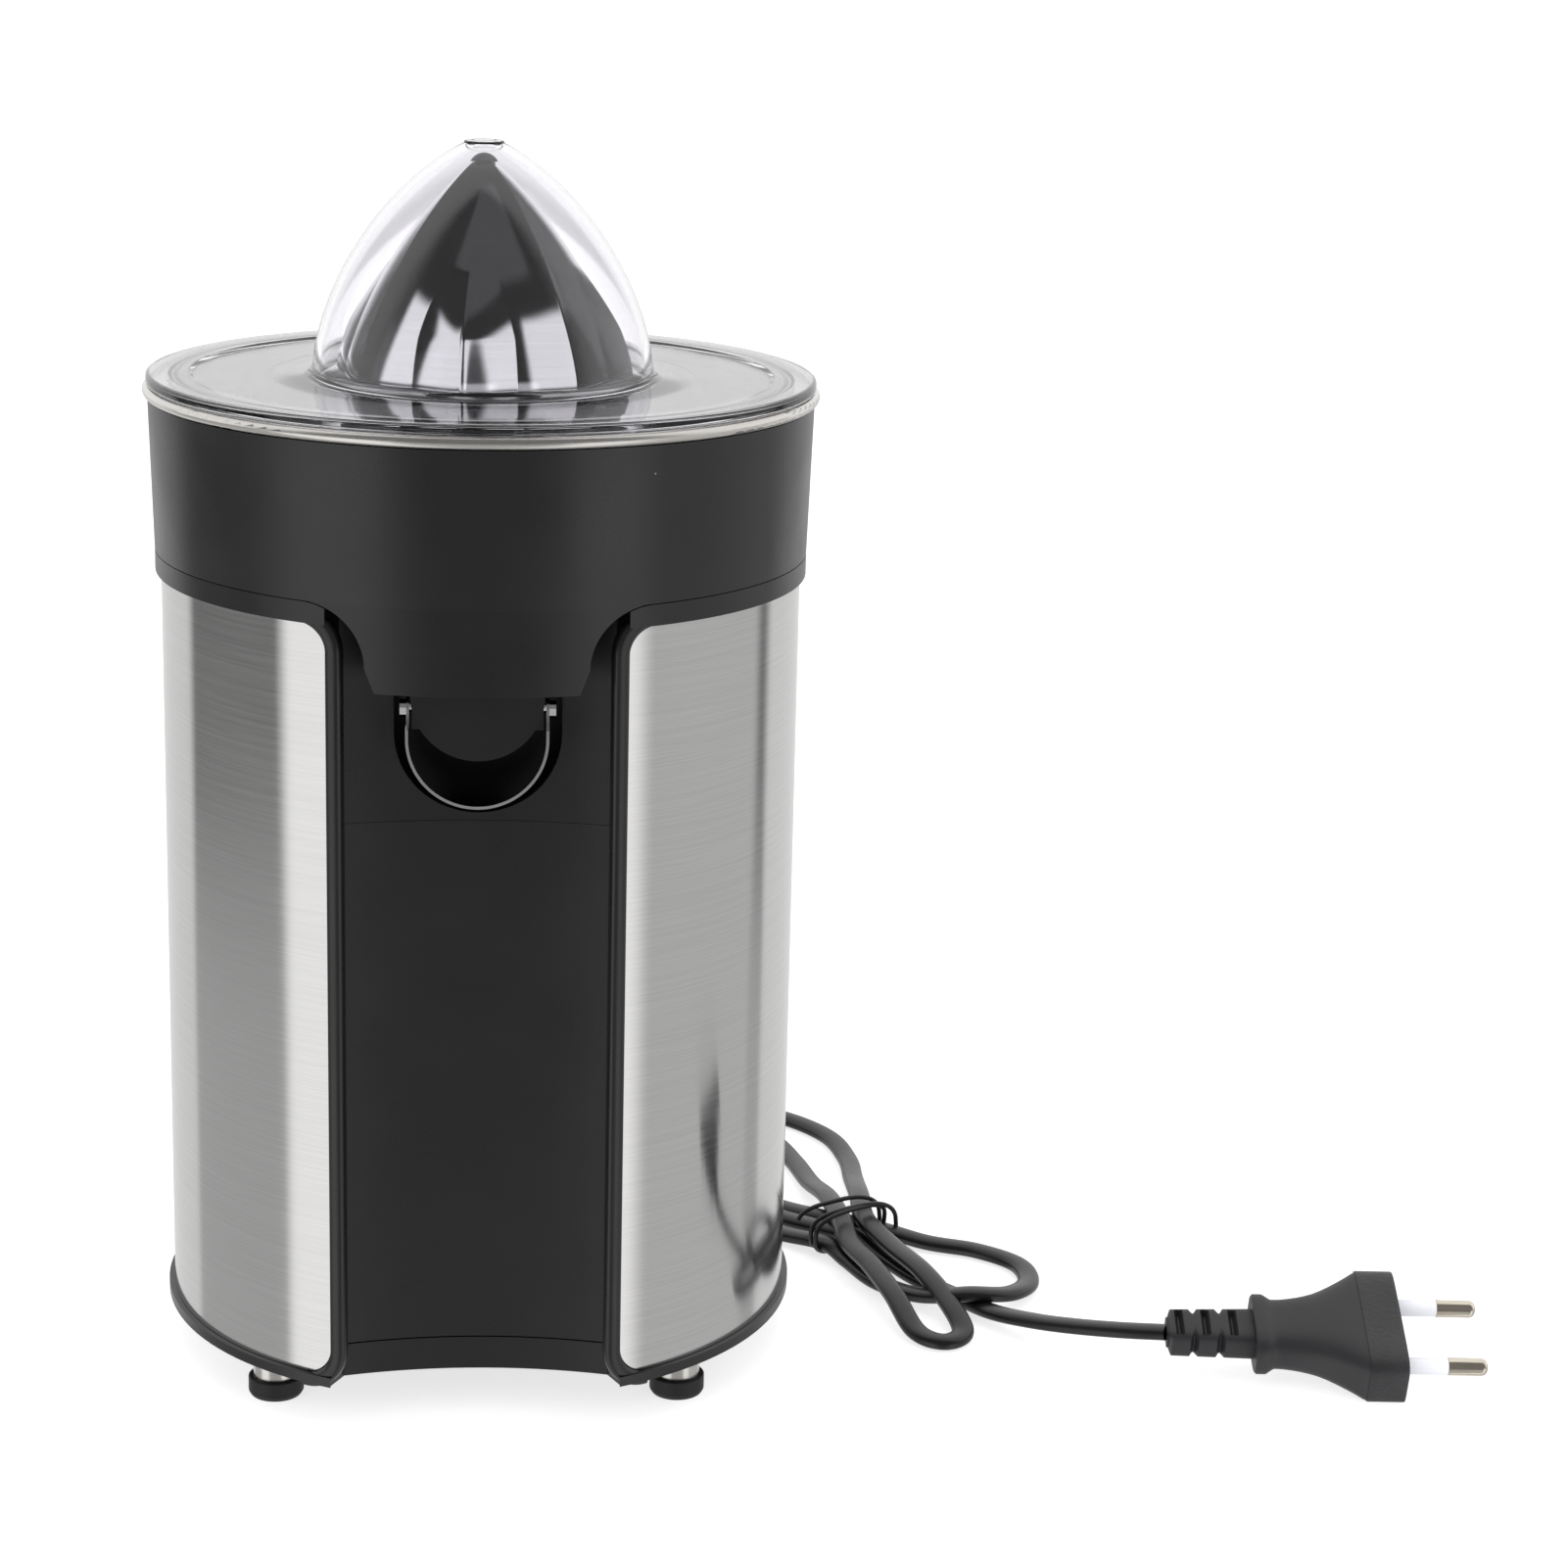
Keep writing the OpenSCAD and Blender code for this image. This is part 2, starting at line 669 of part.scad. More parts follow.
module cover_screws() {
    color("#8d9094")
        at([for (p = cover_ears) [p[0], p[1], plate_top + 3]]) screw(1.25, 6, 2.3, 1.6);
}

// Fixed pin that the idler turns on
module idler_axle() {
    color("#c8c8c8") translate([idler_x, idler_y, 0]) disc(2, gear_z, cover_top - gear_z);
}

// ---- Motor ----

// Bracket on four posts, cut out round the coil
module motor_bracket() {
    color("#6a6d70")
        difference() {
            union() {
                translate([-33, -6, stack_z - 3]) cube([66, 52, 3]);
                for (p = motor_posts) translate([p[0], p[1], floor_z]) cylinder(r = 4, h = stack_z - floor_z - 2);
            }
            translate([-19.5, 37.5, stack_z - 4]) cube([39, 20, 5]);
            translate([0, rotor_y, 0]) disc(6, stack_z - 4, 5);
            at([for (p = stator_bolts) [p[0], p[1], stack_z - 4]]) cylinder(r = 1.5, h = 5);
            for (x = [-18, 18])
                translate([x, 8, stack_z - 4]) cylinder(r = 4, h = 5);
        }
}

// Stack of sheets: two legs, the bored pole piece and the back limb
module motor_stator() {
    color("#77797c")
        difference() {
            translate([-29.5, -1, stack_z]) cube([59, 58, stack_h]);
            translate([0, rotor_y, 0]) disc(14, stack_z - past, stack_h + 2 * past);
            translate([-19.5, 40, stack_z - past]) cube([39, 8.5, stack_h + 2 * past]);
            at([for (p = stator_bolts) [p[0], p[1], stack_z - past]])
                cylinder(r = 1.5, h = stack_h + 2 * past);
            for (x = [-30, 30]) translate([x, 57.5, stack_z - past]) cylinder(r = 7, h = stack_h + 2 * past);
        }
}

// Winding round the back limb
module motor_coil() {
    color("#9a4a22")
        difference() {
            translate([-17.5, 41, stack_z - 5]) cube([35, 22, stack_h + 10]);
            translate([-18.5, 48.5, stack_z]) cube([37, 8.5, stack_h]);
        }
}

module motor_bolts() {
    color("#8d9094")
        at([for (p = stator_bolts) [p[0], p[1], stack_z + stack_h]])
            screw(1.5, stack_h + 3, 2.8, 2);
}

// Bushes for the rotor's shaft, below and above
module motor_bushes() {
    color("#b8924a")
        translate([0, rotor_y, 0])
            union() {
                ring(6, rotor_shaft_r + running, stack_z - 3, 3);
                ring(6, rotor_shaft_r + running, gear_z, 3);
            }
}

module rotor_core() {
    color("#85878a") translate([0, rotor_y, 0]) ring(13.5, rotor_shaft_r, stack_z + 1, stack_h - 2);
}
module rotor_shaft() {
    color("#c8c8c8") translate([0, rotor_y, 0]) disc(rotor_shaft_r, floor_z + 5, output_z - press - 1.5 - floor_z - 5);
}
// Brass pinion, set with one tooth in a gap of the idler's wheel
module rotor_pinion() {
    color("#c09a50")
        translate([0, rotor_y, wheel_z - 1])
            gear(pinion_teeth, wheel_w + 2, to_rotor + 180, rotor_shaft_r);
}
// Fan under the bracket, with slanted square blades
module cooling_fan() {
    color("#3f4347")
        translate([0, rotor_y, floor_z + 7])
            difference() {
                union() {
                    cylinder(r = 24, h = 1.5);
                    cylinder(r = 6, h = 9);
                    for (a = [0 : 40 : 320])
                        rotate(a) translate([5, -0.7, 1]) cube([18, 1.4, 8]);
                }
                translate([0, 0, -past]) cylinder(r = rotor_shaft_r, h = 12);
            }
}

// Wheel and pinion in one, both teeth lined up with their mates
module idler_gear() {
    color("#e4e0d2")
        translate([idler_x, idler_y, 0])
            union() {
                translate([0, 0, wheel_z])
                    gear(wheel_teeth, wheel_w, to_rotor + 180 / wheel_teeth, 2 + running);
                translate([0, 0, wheel_z + wheel_w])
                    gear(pinion_teeth, press + 3 + output_w + 1, to_shaft, 2 + running);
                ring(4.6, 2 + running, wheel_z - 3, 3.5);
            }
}

// ---- Press mechanism ----

switch_x = 30;
switch_screws_at = [[switch_x - 7.5, 0, 0], [switch_x + 7.5, 0, 0]];

// Sleeve that carries the shaft up and down, with an arm over the switch
module press_carrier() {
    color("#d9d5c8")
        difference() {
            union() {
                disc(6.5, carrier_z - 12, 15);
                disc(14, carrier_z, 3);
                translate([0, -4, carrier_z]) cube([switch_x + 4, 8, 3]);
            }
            disc(shaft_r + running, carrier_z - 13, 20);
        }
}

// Coil spring between the gear cover and the carrier
spring_turns = 5;
module press_spring() {
    r = 10;
    wire = 1.2;
    h = carrier_z - cover_top - wire - 0.2;
    color("#b5b7b9")
        skin([for (i = [0 : 12 * spring_turns])
            let (a = 30 * i, along = unit([-r * sin(a), r * cos(a), h / spring_turns / 2 / PI]))
            oval([r * cos(a), r * sin(a), cover_top + 0.1 + wire / 2 + h * i / 12 / spring_turns],
                along, wire, wire, 8)]);
}

// Snap switch on the gear cover
module micro_switch() {
    color("#2d2d30")
        difference() {
            translate([switch_x - 10, -3.2, cover_top]) cube([20, 6.4, 10.5]);
            translate([switch_x, 0, cover_top + 4]) cylinder(r = 2, h = 10);
            at([for (p = switch_screws_at) [p[0], p[1], cover_top - past]]) cylinder(r = 1, h = 14);
        }
}
module switch_screws() {
    color("#8d9094")
        at([for (p = switch_screws_at) [p[0], p[1], cover_top + 10.5]]) screw(1, 12.5, 1.8, 1.2);
}
module switch_plunger() {
    color("#c23b2e") translate([switch_x, 0, 0]) disc(1.9, cover_top + 8, carrier_z - cover_top - 8);
}

// Steel shaft, grooved for two clips
module drive_shaft() {
    color("#c8c8c8")
        difference() {
            disc(shaft_r, shaft_z, shaft_top - shaft_z);
            for (z = [carrier_z + 3 + 0.1, carrier_z - 12 - 0.1 - clip_t]) ring(shaft_r + 1, shaft_r - 0.7, z, clip_t);
        }
}
module output_gear() {
    color("#e4e0d2")
        translate([0, 0, output_z])
            gear(output_teeth, output_w, to_shaft + 180 + 180 / output_teeth, shaft_r);
}
// Two clips that hold the carrier on the shaft
module shaft_clips() {
    color("#7c7f83")
        for (z = [carrier_z + 3 + 0.1, carrier_z - 12 - 0.1 - clip_t])
            difference() {
                ring(6.8, shaft_r - 0.7, z, clip_t);
                translate([0, -1.5, z - past]) cube([10, 3, clip_t + 2 * past]);
            }
}
// Collar that the reamer stands on
module drive_collar() {
    color("#3a3a3c") ring(7.5, shaft_r, hub_z - 5, 5);
}

// ---- Reamer ----

// Radius of the reamer at share u of its height, and of a rib's flank at angle a
function cone_r(u) = pow(1 - pow(u, 1.65), 0.92);
function long_rib(a) = pow(1 - pow(abs(sin(ribs * a / 2)), 0.85), 1.15);
function short_rib(u, a) = pow(max(0, min(1, (short_start - u) / 0.3)), 0.7)
    * pow(1 - pow(abs(cos(ribs * a / 2)), 0.7), 1.15);
function fluted(r, u, a) = r * cone_r(u) - flute * cone_r(u)
    * (1 - max(long_rib(a), short_rib(u, a)));
short_start = 0.52;
rib_turn = 127.7;
reamer_rings = 14;
reamer_sides = 16 * ribs;

// Points round the reamer at share u, inside or outside
function reamer_ring(r, u, z) = [for (j = [0 : reamer_sides - 1])
    let (a = 360 * j / reamer_sides) concat(polar(fluted(r, u, a), a + rib_turn), z)];

// Fluted steel shell, hollow from below
module reamer_shell() {
    color("#d6d7d9")
        difference() {
            skin([for (i = [0 : reamer_rings])
                let (u = 0.985 * sin(90 * i / reamer_rings)) reamer_ring(reamer_r, u, reamer_z + reamer_h * u)]);
            skin([for (i = [-1 : reamer_rings - 2])
                let (u = 0.95 * sin(90 * max(i, 0) / reamer_rings), low = i < 0 ? past : 0)
                reamer_ring(reamer_r - reamer_t, u, reamer_z - low + (reamer_h - 2.5) * u)]);
            disc(2, reamer_z, reamer_h + past);
        }
}

// Moulded hub inside the shell, with a web at its foot
core_top = reamer_z + 33;
module reamer_core() {
    color("#2a2a2c")
        difference() {
            union() {
                disc(6.8, hub_z, core_top - hub_z);
                ring(reamer_r - flute - reamer_t - 0.6, 6, reamer_z + 0.6, 2);
                for (a = [0 : 72 : 288])
                    rotate(a) translate([6, -1, reamer_z + 1]) cube([14, 2, 10]);
            }
            disc(shaft_r + running, hub_z - past, shaft_top - hub_z + past + 0.4);
            disc(1.9, shaft_top, 60);
        }
}

// Dark cap with a stem that holds the shell on the hub
module reamer_tip() {
    color("#3a3a3d")
        union() {
            disc(1.9, core_top - 8, reamer_z + reamer_h - core_top + 8);
            intersection() {
                translate([0, 0, reamer_z + reamer_h - 1.6]) sphere(r = 3.4);
                disc(5, reamer_z + reamer_h, 5);
            }
        }
}

// ---- Bowl unit ----

collar_feet_r = 58;
module collar() {
    color("#252527")
        difference() {
            union() {
                rotate_extrude()
                    polygon([[collar_ri, collar_z], [collar_r, collar_z],
                        [collar_r + collar_flare, collar_top], [collar_ri, collar_top]]);
                ring(collar_ri + 0.5, chimney_r + 1.4, collar_z, collar_floor);
                difference() {
                    ring(collar_feet_r + 2, collar_feet_r, deck_top, collar_z + 0.5 - deck_top);
                    translate([-column_half, -lip_r, deck_top - past])
                        cube([column_w, lip_r + edge_y + 8, collar_z - deck_top + past]);
                }
                intersection() {
                    ring(collar_r, collar_ri, apron_z, apron_h + 0.5);
                    front(cut_y, lip_r) apron_view(0, collar_z);
                }
            }
            translate([-duct_half - fit, hood_y - fit, deck_top - 10])
                cube([2 * duct_half + 2 * fit, duct_back - hood_y + 2 * fit, 30]);
        }
}

// Steel bowl with its stepped wall, rolled rim and chimney
module steel_bowl() {
    t = bowl_t;
    low_r = bowl_r - 2.4;
    color("#c9c7c4")
        difference() {
            union() {
                rotate_extrude()
                    polygon([[chimney_r, bowl_z], [chimney_r, bowl_z + chimney_h],
                        [chimney_r + t, bowl_z + chimney_h], [chimney_r + t, bowl_z + t],
                        [low_r - 3.8, bowl_z + t], [low_r - t, bowl_z + 3.8],
                        [low_r - t, step_z - 2.1], [bowl_r - t, step_z + 0.3],
                        [bowl_r - t, bead_z - 0.4], [bead_y - 0.6, bead_z - 0.4],
                        [bead_y - 0.6, bead_z - 1.2], [bowl_r, bead_z - 1.2], [bowl_r, step_z],
                        [low_r, step_z - 2.4], [low_r, bowl_z + 3.5], [low_r - 3.5, bowl_z]]);
                rotate_extrude() translate([bead_y, bead_z]) circle(r = bead_r);
            }
            translate([0, outlet_y, bowl_z - past]) cylinder(r = outlet_r, h = 3);
        }
}

// Black outlet under the bowl: front hood, cheeks for the hinge and a back wall
module outlet_duct() {
    color("#202022")
        difference() {
            union() {
                front(hood_y + 2.4, 2.4)
                    union() {
                        translate([0, hood_z]) circle(r = duct_half + 0.3);
                        translate([-duct_half, hood_z]) square([2 * duct_half, bowl_z - 0.4 - hood_z]);
                    }
                for (side = [-1, 1])
                    translate([side * (duct_half - duct_wall / 2), hood_y + 1 + (duct_back - hood_y - 1) / 2,
                        (pivot_z - 4 + bowl_z - 0.4) / 2])
                        cube([duct_wall, duct_back - hood_y - 1, bowl_z - 0.4 - pivot_z + 4], center = true);
                translate([-duct_half, duct_back - 2, pivot_z + 1])
                    cube([2 * duct_half, 2, bowl_z - 0.4 - pivot_z - 1]);
                translate([-duct_half, hood_y + 1, bowl_z - 2.4])
                    cube([2 * duct_half, duct_back - hood_y - 1, 2]);
            }
            translate([0, outlet_y, bowl_z - 4]) cylinder(r = outlet_r, h = 6);
            translate([0, pivot_y, pivot_z])
                rotate([0, 90, 0]) cylinder(r = pin_r + running, h = 40, center = true);
        }
}

// Flat seal between the duct and the bowl
module duct_seal() {
    color("#5a5a5c")
        translate([0, outlet_y, bowl_z - 0.4])
            difference() {
                cylinder(r = outlet_r + 1.4, h = 0.4);
                translate([0, 0, -past]) cylinder(r = outlet_r, h = 3);
            }
}

// Perforated strainer with a raised hub round the chimney
module strainer() {
    outer = bowl_r - bowl_t - 0.5;
    hub = chimney_r + bowl_t + 0.6;
    color("#bfc0c2")
        difference() {
            union() {
                ring(outer, hub, step_z + 0.4, 1.2);
                ring(outer, outer - 1, step_z + 0.4, 5);
                ring(hub + 1.2, hub, step_z + 0.4, 7);
            }
            for (i = [0 : slots - 1])
                rotate(360 * i / slots)
                    translate([36, -slot_w / 2, step_z]) cube([24, slot_w, 3]);
            for (i = [0 : slots / 2 - 1])
                rotate(720 * i / slots)
                    translate([18, -slot_w / 2, step_z]) cube([13, slot_w, 3]);
        }
}

// ---- Spout ----

module spout_trough() {
    color("#c6c6c8")
        difference() {
            union() {
                front(spout_y + spout_l, spout_l) u_view(spout_r, spout_z, spout_z + 2);
                for (side = [-1, 1])
                    translate([side * (spout_r - spout_t / 2), pivot_y, 0])
                        union() {
                            translate([0, 0, pivot_z]) rotate([0, 90, 0])
                                cylinder(r = 3.6, h = spout_t, center = true);
                            translate([0, 0, (spout_z + pivot_z) / 2])
                                cube([spout_t, 7.2, pivot_z - spout_z], center = true);
                        }
            }
            front(spout_y + spout_l - spout_t, spout_l)
                u_view(spout_r - spout_t, spout_z, pivot_z + 20);
            translate([0, pivot_y, pivot_z])
                rotate([0, 90, 0]) cylinder(r = pin_r, h = 60, center = true);
        }
}

// Headed pins that hang the trough on the duct
module spout_pins() {
    color("#d0d0d2")
        for (side = [-1, 1])
            translate([0, pivot_y, pivot_z])
                rotate([0, 90 * side, 0])
                    union() {
                        translate([0, 0, duct_half - duct_wall - 0.6])
                            cylinder(r = pin_r, h = spout_r - duct_half + duct_wall + 0.6);
                        translate([0, 0, spout_r]) cylinder(r = pin_r + 1, h = 1.4);
                    }
}

// ---- Lid ----

// Radius of the lid's dome at share u of its height
function dome_share(u) = pow(1 - pow(u, 1.8), 0.72);
dome_steps = 12;
module lid() {
    inner_r = dome_r - lid_t;
    inner_h = dome_h - lid_t;
    color([0.9, 0.92, 0.96, 0.35])
        rotate_extrude()
            union() {
                polygon(concat(
                    [for (i = [0 : dome_steps]) let (u = sin(90 * i / dome_steps))
                        [dome_r * dome_share(u), lid_z + dome_h * u]],
                    [for (i = [dome_steps : -1 : 0]) let (u = sin(90 * i / dome_steps))
                        [inner_r * dome_share(u), lid_z + inner_h * u]]));
                translate([inner_r, lid_z]) square([lid_r - inner_r - 1, lid_t]);
                translate([lid_r - lid_ring_w, lid_z]) square([lid_ring_w, lid_t + 0.6]);
                translate([bowl_r - bowl_t - 1.8, lid_z - 4]) square([1.4, 5]);
                translate([0, lid_z + dome_h - lid_t]) square([6, lid_t + 0.8]);
            }
}

// ---- Mains lead ----

// Tapered relief where the lead leaves the base
module strain_relief() {
    color("#232325")
        translate([0, 0, gland_z])
            rotate([-90, 0, 0])
                difference() {
                    union() {
                        translate([0, 0, sleeve_r - 5]) cylinder(r = 5.4, h = 5);
                        translate([0, 0, sleeve_r]) cylinder(r = 7.2, h = 1.6);
                        translate([0, 0, sleeve_r + 1]) cylinder(r1 = 5, r2 = 3.6, h = relief_l - 1);
                    }
                    for (z = [4 : 4 : 20])
                        translate([0, 0, sleeve_r + 2 + z]) difference() {
                            cylinder(r = 8, h = 1.4);
                            translate([0, 0, -past]) cylinder(r = 3, h = 4);
                        }
                }
}
module cord_clamp() {
    color("#3a3a3c")
        translate([-14, liner_ri - 18, gland_z - 5])
            difference() {
                cube([28, 8, 6]);
                for (x = [4, 24]) translate([x, 4, -past]) cylinder(r = 1.5, h = 8);
            }
}
module clamp_screws() {
    color("#8d9094")
        for (x = [-10, 10])
            translate([x, liner_ri - 14, gland_z + 1])
                screw(1.5, gland_z + 1 - floor_z, 2.8, 1.8);
}
module terminal_block() {
    color("#e9e6da")
        difference() {
            translate([-50, -14, floor_z]) cube([16, 24, 11]);
            for (y = [-10, -2, 6]) translate([-42, y, floor_z + 5]) cylinder(r = 1.8, h = 8);
        }
}

// Flat two-core lead: rings of twelve sides along the route
module power_cord() {
    color("#161617")
        skin([for (i = [0 : len(route) - 1])
            oval(route[i], i == 0 ? [0, 1, 0] : i == len(route) - 1 ? plug_along
                : heading(route, i), cord_w, cord_t, 10)]);
}

// Wire tie: a flattened ring round the five runs, and its twisted ends
module cord_tie() {
    across = [cos(tie_turn), sin(tie_turn), 0];
    half = 12.6;
    rise = 5.2;
    color("#141415")
        union() {
            skin([for (i = [0 : 28])
                let (a = 360 * i / 28 - 60, c = cos(a), s = sin(a))
                oval(tie_at + across * half * sign(c) * sqrt(abs(c))
                    + [0, 0, rise] * sign(s) * sqrt(abs(s)) + [0, 0.03 * i, 0],
                    unit([-s * across[0], -s * across[1], c + 0.001]), 2 * wire_r, 2 * wire_r, 8)]);
        }
}
plug_along = [cos(plug_heading), sin(plug_heading), 0];

// A rounded section of the plug, w wide and t thick, at distance x along it
function plug_ring(x, w, t) = [for (j = [0 : 23])
    let (a = 15 * j, c = cos(a), s = sin(a))
    [x, w / 2 * sign(c) * pow(abs(c), 0.45), t / 2 * sign(s) * pow(abs(s), 0.6)]];
module on_plug() {
    translate(plug_at) rotate([0, 0, plug_heading]) rotate([plug_roll, 0, 0]) children();
}
module plug_relief() {
    color("#1b1b1c")
        on_plug()
            difference() {
                skin([plug_ring(0, 9.4, 6.6), plug_ring(relief_len, 11, 7.4)]);
                for (x = [4.5 : 5 : 16]) for (side = [-1, 1])
                    translate([x, side * 6, 0]) cube([1.8, 5, 12], center = true);
            }
}
module plug_body() {
    color("#1b1b1c")
        on_plug()
            union() {
                skin([plug_ring(relief_len, 17.5, 10.5), plug_ring(relief_len + 4, 17.5, 10.5)]);
                skin([for (s = [[4, 13, 9.5], [9, 14, 10.4], [14, 16.5, 11.4], [19, 21, 12.4],
                    [23.5, 28, 13], [25, 33, 13.4], [plug_len, 33, 13.4]])
                    plug_ring(relief_len + s[0], s[1], s[2])]);
            }
}
plug_face = relief_len + plug_len;
module plug_sleeves() {
    color("#e8e8e8")
        on_plug()
            for (side = [-1, 1])
                translate([plug_face, side * plug_pitch / 2, 0])
                    rotate([0, 90, 0]) cylinder(r = plug_pin_r, h = sleeve_len);
}
module plug_pins() {
    color("#c4b698")
        on_plug()
            for (side = [-1, 1])
                translate([plug_face + sleeve_len, side * plug_pitch / 2, 0])
                    rotate([0, 90, 0])
                        union() {
                            cylinder(r = plug_pin_r, h = pin_len - sleeve_len - 1);
                            translate([0, 0, pin_len - sleeve_len - 1])
                                cylinder(r1 = plug_pin_r, r2 = plug_pin_r - 1, h = 1);
                        }
}

base_tray();
base_screws();
foot_posts();
foot_caps();
steel_sleeve();
chassis();
front_panel();
top_deck();
deck_screws();
upper_bush();
shaft_seal();
gear_plate();
plate_screws();
lower_bush();
gear_cover();
cover_screws();
idler_axle();
motor_bracket();
motor_stator();
motor_coil();
motor_bolts();
motor_bushes();
micro_switch();
switch_screws();
press_spring();
cord_clamp();
clamp_screws();
terminal_block();
strain_relief();
rotor_core();
rotor_shaft();
rotor_pinion();
cooling_fan();
idler_gear();
press_carrier();
switch_plunger();
drive_shaft();
output_gear();
shaft_clips();
drive_collar();
reamer_shell();
reamer_core();
reamer_tip();
collar();
steel_bowl();
outlet_duct();
duct_seal();
strainer();
spout_trough();
spout_pins();
lid();
power_cord();
cord_tie();
plug_body();
plug_relief();
plug_sleeves();
plug_pins();
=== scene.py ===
import json
import math

import bmesh
import bpy
import numpy as np
from mathutils import Matrix


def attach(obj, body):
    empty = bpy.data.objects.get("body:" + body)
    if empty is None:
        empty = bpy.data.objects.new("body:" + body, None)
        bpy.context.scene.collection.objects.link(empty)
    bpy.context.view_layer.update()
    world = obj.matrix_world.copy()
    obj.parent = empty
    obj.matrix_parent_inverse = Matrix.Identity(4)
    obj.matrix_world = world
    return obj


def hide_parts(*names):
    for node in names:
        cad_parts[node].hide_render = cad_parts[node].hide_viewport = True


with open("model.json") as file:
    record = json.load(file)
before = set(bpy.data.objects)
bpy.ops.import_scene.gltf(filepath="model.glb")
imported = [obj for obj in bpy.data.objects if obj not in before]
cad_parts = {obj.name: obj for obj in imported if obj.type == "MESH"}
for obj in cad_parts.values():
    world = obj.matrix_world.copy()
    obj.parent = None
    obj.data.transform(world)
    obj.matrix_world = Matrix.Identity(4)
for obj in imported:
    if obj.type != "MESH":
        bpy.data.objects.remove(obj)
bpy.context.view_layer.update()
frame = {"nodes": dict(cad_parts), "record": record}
mm = 0.001
print("frame loaded:", len(frame["nodes"]), "nodes")

# camera: stands a little right of the front, tilted down, rolled slightly
view = {"place": (0.0124, -0.7912, 0.3409), "lens": 83.2, "right": 4.03, "down": 14.92, "roll": 1.46}


def addCamera(v):
    data = bpy.data.cameras.new("frontCamera")
    data.sensor_width = 36
    data.lens = v["lens"]
    data.clip_start = 0.01
    camera = bpy.data.objects.new("frontCamera", data)
    turn = (Matrix.Rotation(-math.radians(v["right"]), 4, "Z")
            @ Matrix.Rotation(math.radians(90 - v["down"]), 4, "X")
            @ Matrix.Rotation(math.radians(v["roll"]), 4, "Z"))
    camera.matrix_world = Matrix.Translation(v["place"]) @ turn
    bpy.context.scene.collection.objects.link(camera)
    bpy.context.scene.camera = camera


addCamera(view)
print("camera placed")


def newMaterial(name):
    material = bpy.data.materials.new(name)
    material.use_nodes = True
    tree = material.node_tree
    return material, tree, tree.nodes["Principled BSDF"]


def addNode(tree, kind, **values):
    node = tree.nodes.new(kind)
    for key, value in values.items():
        setattr(node, key, value)
    return node


def setInputs(node, **values):
    for key, value in values.items():
        node.inputs[key].default_value = value


def mathNode(tree, operation, a, b=None):
    node = addNode(tree, "ShaderNodeMath", operation=operation)
    for socket, value in zip(node.inputs, (a, b)):
        if value is None:
            continue
        if isinstance(value, (int, float)):
            socket.default_value = value
        else:
            tree.links.new(value, socket)
    return node.outputs[0]


def remap(tree, value, low, high, toLow=0.0, toHigh=1.0):
    node = addNode(tree, "ShaderNodeMapRange", interpolation_type="SMOOTHSTEP")
    tree.links.new(value, node.inputs["Value"])
    for key, number in zip(("From Min", "From Max", "To Min", "To Max"), (low, high, toLow, toHigh)):
        node.inputs[key].default_value = number
    return node.outputs["Result"]


# noise on Object coordinates, stretched by scale along each axis
def grainNoise(tree, scale, detail=3.0, rough=0.55):
    place = addNode(tree, "ShaderNodeTexCoord")
    mapping = addNode(tree, "ShaderNodeMapping")
    mapping.inputs["Scale"].default_value = scale
    tree.links.new(place.outputs["Object"], mapping.inputs["Vector"])
    noise = addNode(tree, "ShaderNodeTexNoise")
    setInputs(noise, Scale=1.0, Detail=detail, Roughness=rough)
    tree.links.new(mapping.outputs["Vector"], noise.inputs["Vector"])
    return noise.outputs["Fac"]


def tintFrom(tree, shader, value, dark, light, low=0.3, high=0.7):
    mix = addNode(tree, "ShaderNodeMix", data_type="RGBA")
    tree.links.new(remap(tree, value, low, high), mix.inputs["Factor"])
    mix.inputs["A"].default_value = (*dark, 1)
    mix.inputs["B"].default_value = (*light, 1)
    tree.links.new(mix.outputs["Result"], shader.inputs["Base Color"])


def bumpFrom(tree, shader, value, strength, distance):
    bump = addNode(tree, "ShaderNodeBump")
    setInputs(bump, Strength=strength, Distance=distance)
    tree.links.new(value, bump.inputs["Height"])
    tree.links.new(bump.outputs["Normal"], shader.inputs["Normal"])


# moulded or painted finish: fine grain, cloudy roughness and a slight drift of colour
def mouldedFinish(name, color, rough, grain=2600, bump=0.18, drift=0.12, depth=0.00004, sheen=1.5):
    material, tree, shader = newMaterial(name)
    setInputs(shader, IOR=sheen)
    cloud = grainNoise(tree, (38, 38, 38), 2)
    fine = grainNoise(tree, (grain, grain, grain), 2, 0.6)
    dark = tuple(c * (1 - drift) for c in color)
    light = tuple(c * (1 + drift) for c in color)
    tintFrom(tree, shader, cloud, dark, light)
    both = mathNode(tree, "ADD", mathNode(tree, "MULTIPLY", cloud, 0.6),
                    mathNode(tree, "MULTIPLY", fine, 0.4))
    tree.links.new(remap(tree, both, 0.3, 0.7, rough - 0.05, rough + 0.06), shader.inputs["Roughness"])
    bumpFrom(tree, shader, fine, bump, depth)
    return material, tree, shader


